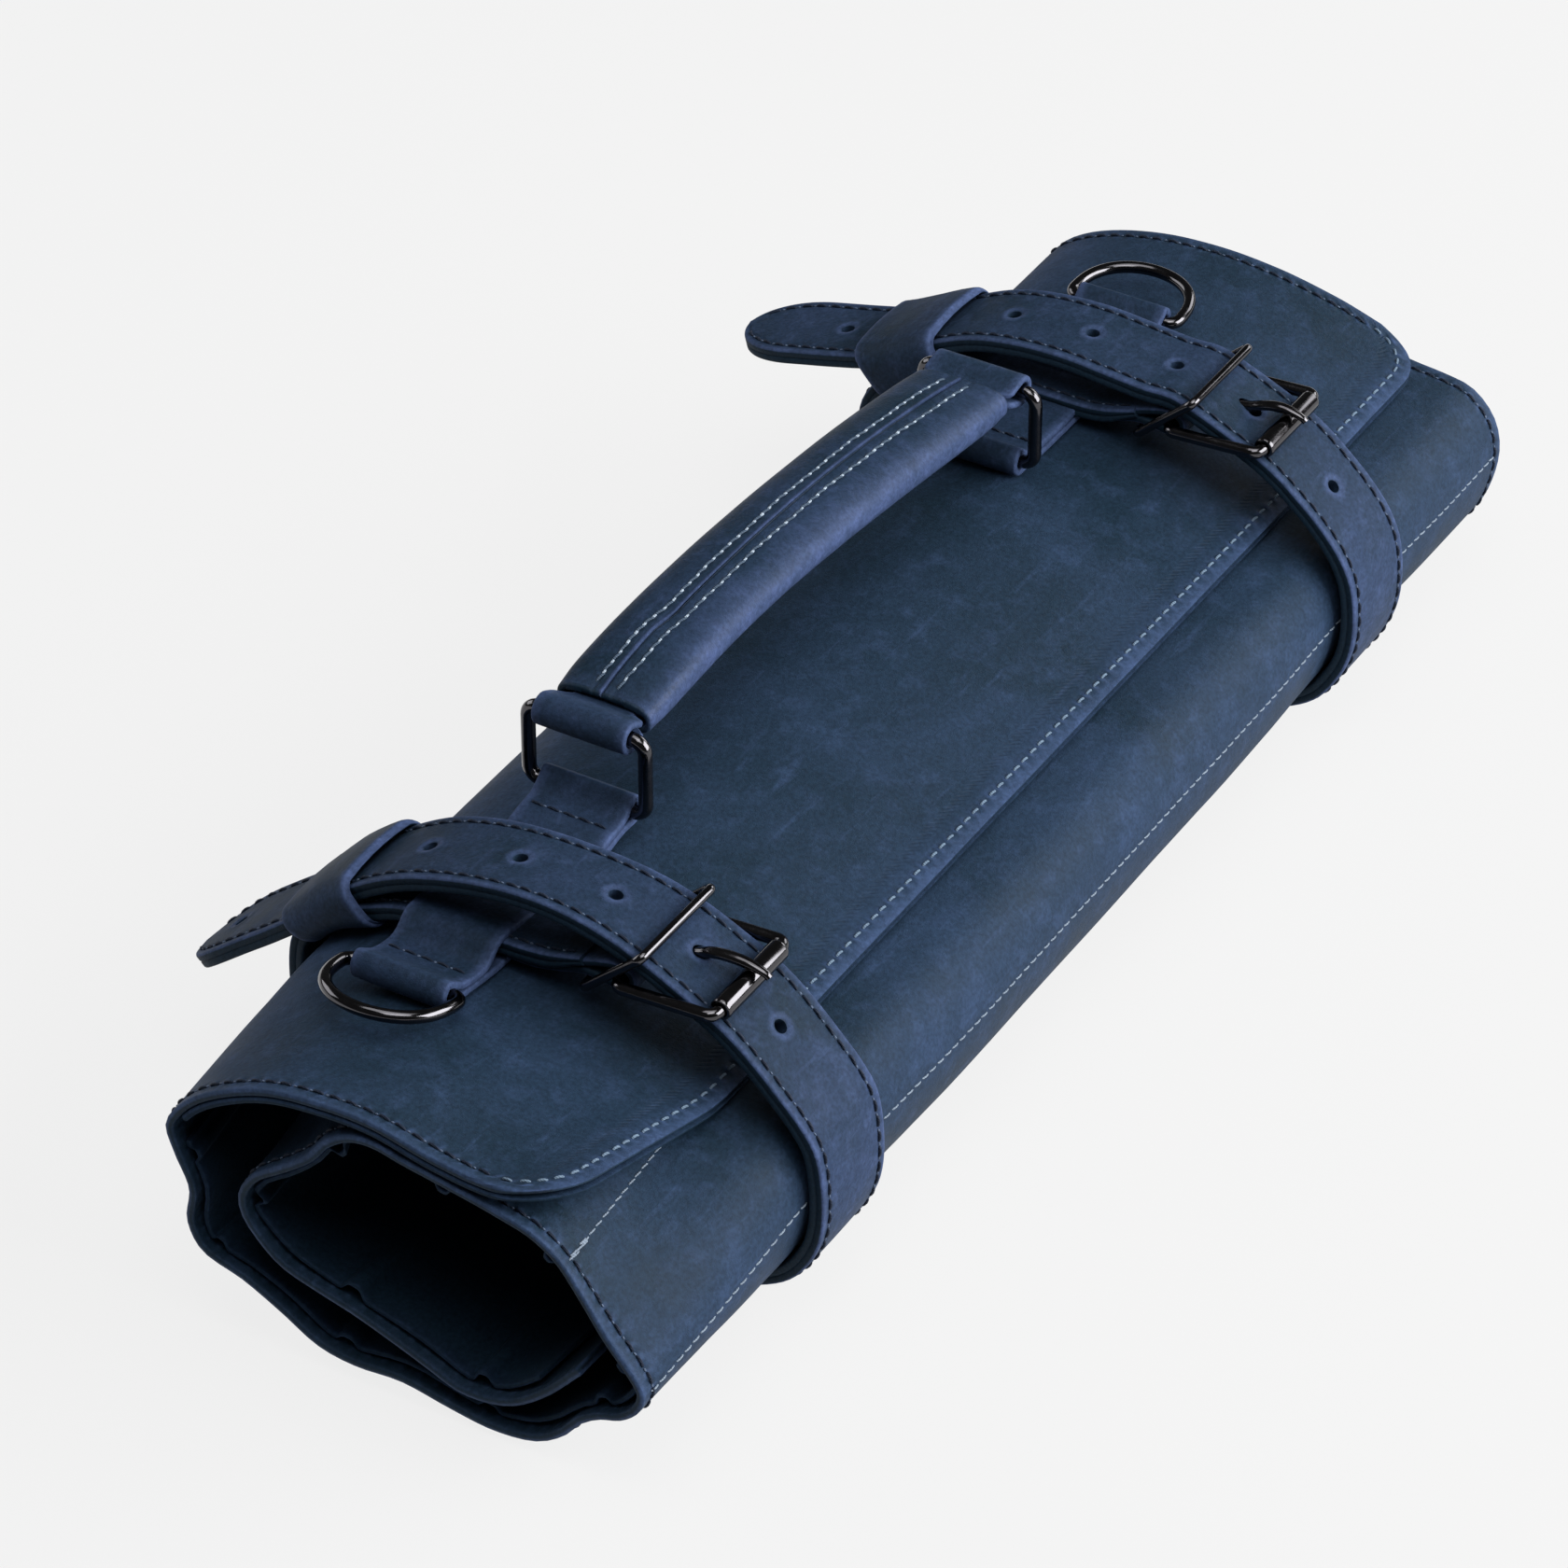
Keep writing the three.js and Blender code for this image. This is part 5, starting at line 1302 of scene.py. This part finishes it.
# ------------------------------------------------------------------ tabs
def band_xz(path, yc, w, T, closed=True, width_at=None, y_at=None, wear_base=0.0):
    """Leather band whose outer face follows an (x, z) path, width along Y.
    The path runs so that the leather lies on its left-hand side."""
    P = np.asarray(path, float)
    n = len(P)
    T2 = tangents(P, closed)
    nin = np.stack([-T2[:, 1], T2[:, 0]], axis=1)
    verts, wear_and_painted_light = [], []
    L = arclen(P)
    for i in range(n):
        wi = width_at(P[i, 0]) if width_at else w
        sec = strap_section(wi, T, 0.12, False)
        yy = y_at(P[i, 0]) if y_at else yc
        for u, v in sec:
            verts.append((P[i, 0] + nin[i, 0] * v, yy - u, P[i, 1] + nin[i, 1] * v))
            edge = wi - abs(u)
            wear_and_painted_light.append(0.8 * math.exp(-(edge / 1.2) ** 2) + wear_base)
    m = len(strap_section(1, 1, 0, False))
    return np.array(verts), tube_faces(n, m, closed), np.array(wear_and_painted_light)


for side in ("near", "far"):
    rx, ry, rz = RING[side]
    dx, _, dz, _ = DRING[side]
    r1, r2 = 1.9 + GAP + 2.2, 1.75 + GAP + 2.2
    under = TAB_UNDER[side]
    leftc = (dx, dz, r2) if side == "near" else (rx, rz, r1)
    rightc = (rx, rz, r1) if side == "near" else (dx, dz, r2)

    def arc(c, a0, a1, n):
        return [[c[0] + c[2] * math.cos(math.radians(a0 + (a1 - a0) * i / n)), c[1] + c[2] * math.sin(math.radians(a0 + (a1 - a0) * i / n))] for i in range(n + 1)]
    xo = -BELT_X if side == "near" else BELT_X
    upper = []
    for x, z in under:
        if abs(x - xo) < 16:
            upper.append([x, 80.2 + 2.2])
        else:
            upper.append([x, z + 4.7])
    # the upper side runs back the other way; the closed spline below rounds its step over the belt
    up2 = []
    for x, z in upper[::-1]:
        up2.append([x, z])
    ring_path = under + arc(rightc, -80, 80, 10) + up2 + arc(leftc, 100, 260, 10)
    P = catmull(ring_path, 5, closed=True)
    P = P[np.concatenate([[True], np.linalg.norm(np.diff(P, axis=0), axis=1) > 0.02])]
    V, F, W = band_xz(P, ry, 13.7, 2.1, True)
    soup = Soup()
    soup.add(to_world(V), F, W)
    tb = soup.build("carry_tab_" + side, M_BELT, angle=42)
    fix_normals(tb)
    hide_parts("anchor_tab_" + side)
    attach(tb, "roll")
    # cross stitches beside each ring
    sp, bd = Soup(), Soup()
    T2 = tangents(P, True)
    nout = np.stack([T2[:, 1], -T2[:, 0]], axis=1)
    for (cx, cz, _), inward in ((leftc, 1), (rightc, -1)):
        tx = cx + inward * 9.5
        best = max((i for i in range(len(P)) if abs(P[i, 0] - tx) < 1.5), key=lambda i: P[i, 1])
        n3 = (nout[best, 0], 0, nout[best, 1])
        line = np.array([(P[best, 0], ry + f, P[best, 1]) for f in np.linspace(-11.6, 11.6, 30)])
        stitch_mesh(sp, line, np.tile(n3, (30, 1)), 4.6, 3.3, 0.36, 0.12, beads=bd)
    so = bd.build("tab_stitch_glint_beads_" + side, M_THREAD_HIGHLIGHT)
    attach(so, "roll")
    so = sp.build("tab_stitches_" + side, M_THREAD_D)
    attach(so, "roll")


# ------------------------------------------------------------------ handle
def handle_y(x):
    bow = 1.5 * max(0.0, math.cos(x / 97.0 * math.pi / 2))
    return RING["near"][1] + (RING["far"][1] - RING["near"][1]) * (x - RING["near"][0]) / (RING["far"][0] - RING["near"][0]) + bow


# the sleeve as it arches between its rings: x, middle height, half width, half thickness
SLEEVE_SOFT = [
    [-88, 103.2, 14.4, 4.9], [-80, 104.2, 14.5, 5.4], [-66, 105.6, 14.5, 6.0], [-46, 106.8, 14.5, 6.3],
    [-22, 107.0, 14.6, 6.6], [0, 106.3, 14.8, 6.9], [24, 105.0, 15.0, 7.0], [48, 103.4, 15.1, 6.8],
    [67, 101.8, 15.0, 6.3], [80, 100.8, 14.9, 5.6], [88, 100.4, 14.8, 5.1],
]
slp = catmull(SLEEVE_SOFT, 12)


def sleeve_at(x):
    return [float(np.interp(x, slp[:, 0], slp[:, k])) for k in (1, 2, 3)]


core = Soup()
for side, sgn in (("near", -1), ("far", 1)):
    bx, bz = RING[side][0], RING[side][2] + LINK_H
    R = 1.9 + GAP + 2.2
    inner_x = sgn * 70
    top = [[x, sleeve_at(max(-88, min(88, x)))[0] + 1.95] for x in (sgn * 70, sgn * 76, sgn * 82, sgn * 88)]
    bot = [[x, sleeve_at(max(-88, min(88, x)))[0] - 1.95] for x in (sgn * 88, sgn * 82, sgn * 76, sgn * 70)]
    if sgn < 0:
        a = np.radians(np.linspace(75, 285, 13))
    else:
        a = np.radians(np.linspace(105, -105, 13))
    bend = [[bx + R * math.cos(q), bz + R * math.sin(q)] for q in a]
    P = catmull(top + bend + bot, 6)
    P = resample(P, 1.2)
    if sgn > 0:
        P = P[::-1]

    def cw(x):
        return 9.0 + (13.7 - 9.0) * float(smoothstep(87.5, 91.0, abs(x)))
    V, F, W = band_xz(P, 0, 13.7, 1.9, False, width_at=cw, y_at=handle_y)
    core.add(to_world(V), F, W)
ho = core.build("handle_core", M_BELT, angle=42)
fix_normals(ho)
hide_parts("handle_strap")
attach(ho, "handle")

# sleeve: wrapped leather with a butt seam along the top
nx = 150
sx = np.array(sorted(set(np.round(list(np.linspace(-88, 88, nx)) + [-87.85, -87.6, -87.1, 87.1, 87.6, 87.85], 3))))
ns = 96
seam_gap = 0.003
phi = np.concatenate([0.62 * np.linspace(0, 1, 32) ** 1.5 + seam_gap, np.linspace(0.62, 2 * np.pi - 0.62, ns - 50)[1:-1], 2 * np.pi - (0.62 * np.linspace(1, 0, 32) ** 1.5 + seam_gap)])


def stitch_off(x):
    return 3.3 + 0.6 * float(smoothstep(-88, 88, x))


def seam_jog(x):
    """The seam and its stitches step sideways where the sleeve creases."""
    return 0.7 - 1.4 * float(smoothstep(-63, -52, x)) + 0.7 * float(smoothstep(-40, 30, x))


def sleeve_ring(x, grow, phi_):
    """Section of the sleeve; phi is measured from the top, towards +Y."""
    zc, w, t = sleeve_at(x)
    n_ = 2.3 + 0.7 * (abs(x) / 88) ** 2
    e = 2 / n_
    s, c = np.sin(phi_), np.cos(phi_)
    y = (w + grow) * np.sign(s) * np.abs(s) ** e
    z = (t + grow) * np.sign(c) * np.abs(c) ** e
    return y, z, zc


Vo, Vi, grip_wear_and_light = [], [], []
for x in sx:
    end = min(x + 88, 88 - x)
    er = 0.7 * (1 - math.sqrt(max(0.0, 1 - (1 - min(end, 0.9) / 0.9) ** 2)))
    pinch = 0.55 * math.exp(-(end / 6.0) ** 2)
    y, z, zc = sleeve_ring(x, 0.0, phi)
    # distance from the seam across the top
    top = (z > 0)
    dist = np.abs(y)
    g = 0.34 * np.exp(-((dist - stitch_off(x)) / 0.7) ** 2) * top
    lip = (0.20 * np.exp(-((y - 0.45) / 0.5) ** 2) - 0.34 * np.exp(-((y + 0.3) / 0.25) ** 2)) * top
    fold = 0.20 * math.sin(x * 0.21) * 0.5 * np.exp(-((dist - 9) / 4) ** 2) * top
    kink = -0.45 * math.exp(-((x + 57) / 4.5) ** 2) * np.exp(-((y + 3.5) / 6.0) ** 2) * top
    rr = np.hypot(y, z)
    k = 1 + (-g + lip + fold * 0.6 + kink - er - pinch) / np.maximum(rr, 3)
    side = seam_jog(x) * np.exp(-(dist / 8.0) ** 2) * top
    Vo.append(np.stack([np.full_like(y, x), y * k + side + handle_y(x), zc + z * k], axis=1))
    yi, zi, _ = sleeve_ring(x, -2.15, phi)
    ki = 1 + (er * 0.8) / np.maximum(np.hypot(yi, zi), 2)
    Vi.append(np.stack([np.full_like(y, x), yi * ki + handle_y(x), zc + zi * ki], axis=1))
    # Tone of the sleeve: darker right at its cut ends and a little lighter just inside them; a broad painted
    # highlight along the lit -Y side; on top, a painted highlight on the seam's lip, painted shade in its groove and
    # a faint painted shaded band on the +Y side.
    grip_wear_and_light.append(-0.5 * math.exp(-(end / 0.55) ** 2) + 0.14 * math.exp(-((end - 1.6) / 1.0) ** 2) + 0.74 * np.exp(-((phi - np.pi / 2 * 3) / 0.72) ** 2) + (0.70 * np.exp(-((y - 0.45) / 0.5) ** 2) - 0.55 * np.exp(-((y + 0.3) / 0.28) ** 2) - 0.24 * np.exp(-((y - 2.2) / 0.9) ** 2)) * top)
Vo, Vi, grip_wear_and_light = np.array(Vo), np.array(Vi), np.array(grip_wear_and_light)
nr, nc = Vo.shape[:2]
V = np.vstack([Vo.reshape(-1, 3), Vi.reshape(-1, 3)])
F = []
n = nr * nc
for i in range(nr - 1):
    for j in range(nc - 1):
        F.append((i * nc + j, i * nc + j + 1, (i + 1) * nc + j + 1, (i + 1) * nc + j))
        F.append((n + i * nc + j, n + (i + 1) * nc + j, n + (i + 1) * nc + j + 1, n + i * nc + j + 1))
    for j in (0, nc - 1):
        a, b_ = i * nc + j, (i + 1) * nc + j
        F.append((a, b_, n + b_, n + a) if j == 0 else (a, n + a, n + b_, b_))
for j in range(nc - 1):
    F.append((j, n + j, n + j + 1, j + 1))
    a, b_ = (nr - 1) * nc + j, (nr - 1) * nc + j + 1
    F.append((a, b_, n + b_, n + a))
grip = make_mesh("handle_sleeve", to_world(V), F, M_GRIP, True, 50, {"wear_and_painted_light": np.concatenate([grip_wear_and_light.reshape(-1), grip_wear_and_light.reshape(-1)])})
fix_normals(grip)
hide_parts("handle_grip")
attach(grip, "handle")

sp, bd = Soup(), Soup()
for sgn in (-1, 1):
    P, N = [], []
    for x in np.linspace(-85, 85, 166):
        zc, w, t = sleeve_at(x)
        off = stitch_off(x)
        n_ = 2.3 + 0.7 * (abs(x) / 88) ** 2
        zz = t * (1 - (off / w) ** n_) ** (1 / n_)
        sl = -(off / w) ** (n_ - 1) * (zz / t) ** (1 - n_) * t / w
        dent = 0.45 * math.exp(-((x + 57) / 4.5) ** 2) * math.exp(-((sgn * off + 3.5) / 6.0) ** 2)
        low = 0.55 * math.exp(-(min(x + 88, 88 - x) / 6.0) ** 2)
        lat = seam_jog(x) * math.exp(-(off / 8.0) ** 2) + 0.16 * math.sin(x * 0.19 + sgn) + 0.08 * math.sin(x * 0.53)
        P.append((x, handle_y(x) + sgn * off + lat, zc + zz - 0.28 - dent - low))
        N.append(unit((0, -sl * sgn, 1)))
    stitch_mesh(sp, np.array(P), np.array(N), 3.9, 3.1, 0.34, 0.03, skew=0.20, beads=bd, bead=(0.36, 0.85))
so = bd.build("handle_stitch_glint_beads", M_THREAD_G)
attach(so, "handle")
so = sp.build("handle_stitches", M_THREAD_H)
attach(so, "handle")

# ------------------------------------------------------------------ stage
me = bpy.data.meshes.new("floor")
s = 6.0
me.from_pydata([(-s, -s, 0), (s, -s, 0), (s, s, 0), (-s, s, 0)], [], [(0, 1, 2, 3)])
floor = bpy.data.objects.new("floor", me)
bpy.context.scene.collection.objects.link(floor)
fm = bpy.data.materials.new("floor_paper")
fm.use_nodes = True
fb = fm.node_tree.nodes["Principled BSDF"]
fb.inputs["Base Color"].default_value = (0.045, 0.045, 0.045, 1)
fb.inputs["Roughness"].default_value = 0.9
fb.inputs["Specular IOR Level"].default_value = 0.1
fb.inputs["Emission Color"].default_value = (1, 1, 1, 1)
fb.inputs["Emission Strength"].default_value = 0.82
me.materials.append(fm)

sc = bpy.context.scene
wd = bpy.data.worlds.new("studio")
sc.world = wd
wd.use_nodes = True
bg = wd.node_tree.nodes["Background"]
bg.inputs["Color"].default_value = (1, 1, 1, 1)
bg.inputs["Strength"].default_value = 0.06


def area(name, loc, target, size, power, color=(1, 1, 1)):
    ld = bpy.data.lights.new(name, "AREA")
    ld.shape = "RECTANGLE"
    ld.size, ld.size_y = size
    ld.energy = power
    ld.color = color
    ob = bpy.data.objects.new(name, ld)
    ob.location = loc
    d = Vector(target) - Vector(loc)
    ob.rotation_euler = d.to_track_quat("-Z", "Y").to_euler()
    sc.collection.objects.link(ob)
    return ob


area("key_right", (0.54, -1.64, 0.94), (0, 0, 0.03), (2.0, 1.3), 88)
area("front_fill", (-0.62, -0.50, 1.6), (0, 0, 0.03), (1.0, 0.8), 10)
area("top_soft", (-0.15, 0.0, 1.65), (0, 0, 0.03), (1.2, 1.0), 9.5)
area("far_fill", (1.5, -0.4, 0.7), (0, 0, 0.05), (0.8, 0.6), 7)
area("back_fill", (-0.1, 1.7, 0.8), (0, 0, 0.05), (1.4, 0.8), 10)

# ------------------------------------------------------------------ camera
cam = bpy.data.cameras.new("camera")
co = bpy.data.objects.new("camera", cam)
sc.collection.objects.link(co)
co.location = world(-1188.9, -680.9, 1046.4)
fwd = Vector((0.6913, 0.4109, -0.5944)).normalized()
right = fwd.cross(Vector((0, 0, 1))).normalized()
up = right.cross(fwd)
R = Matrix((right, up, -fwd)).transposed()
co.rotation_euler = R.to_euler()
cam.sensor_width = 36
cam.sensor_height = 36
cam.lens = 36 * 6917 / 1680
cam.clip_start, cam.clip_end = 0.05, 30
sc.camera = co
sc.view_settings.view_transform = "Standard"
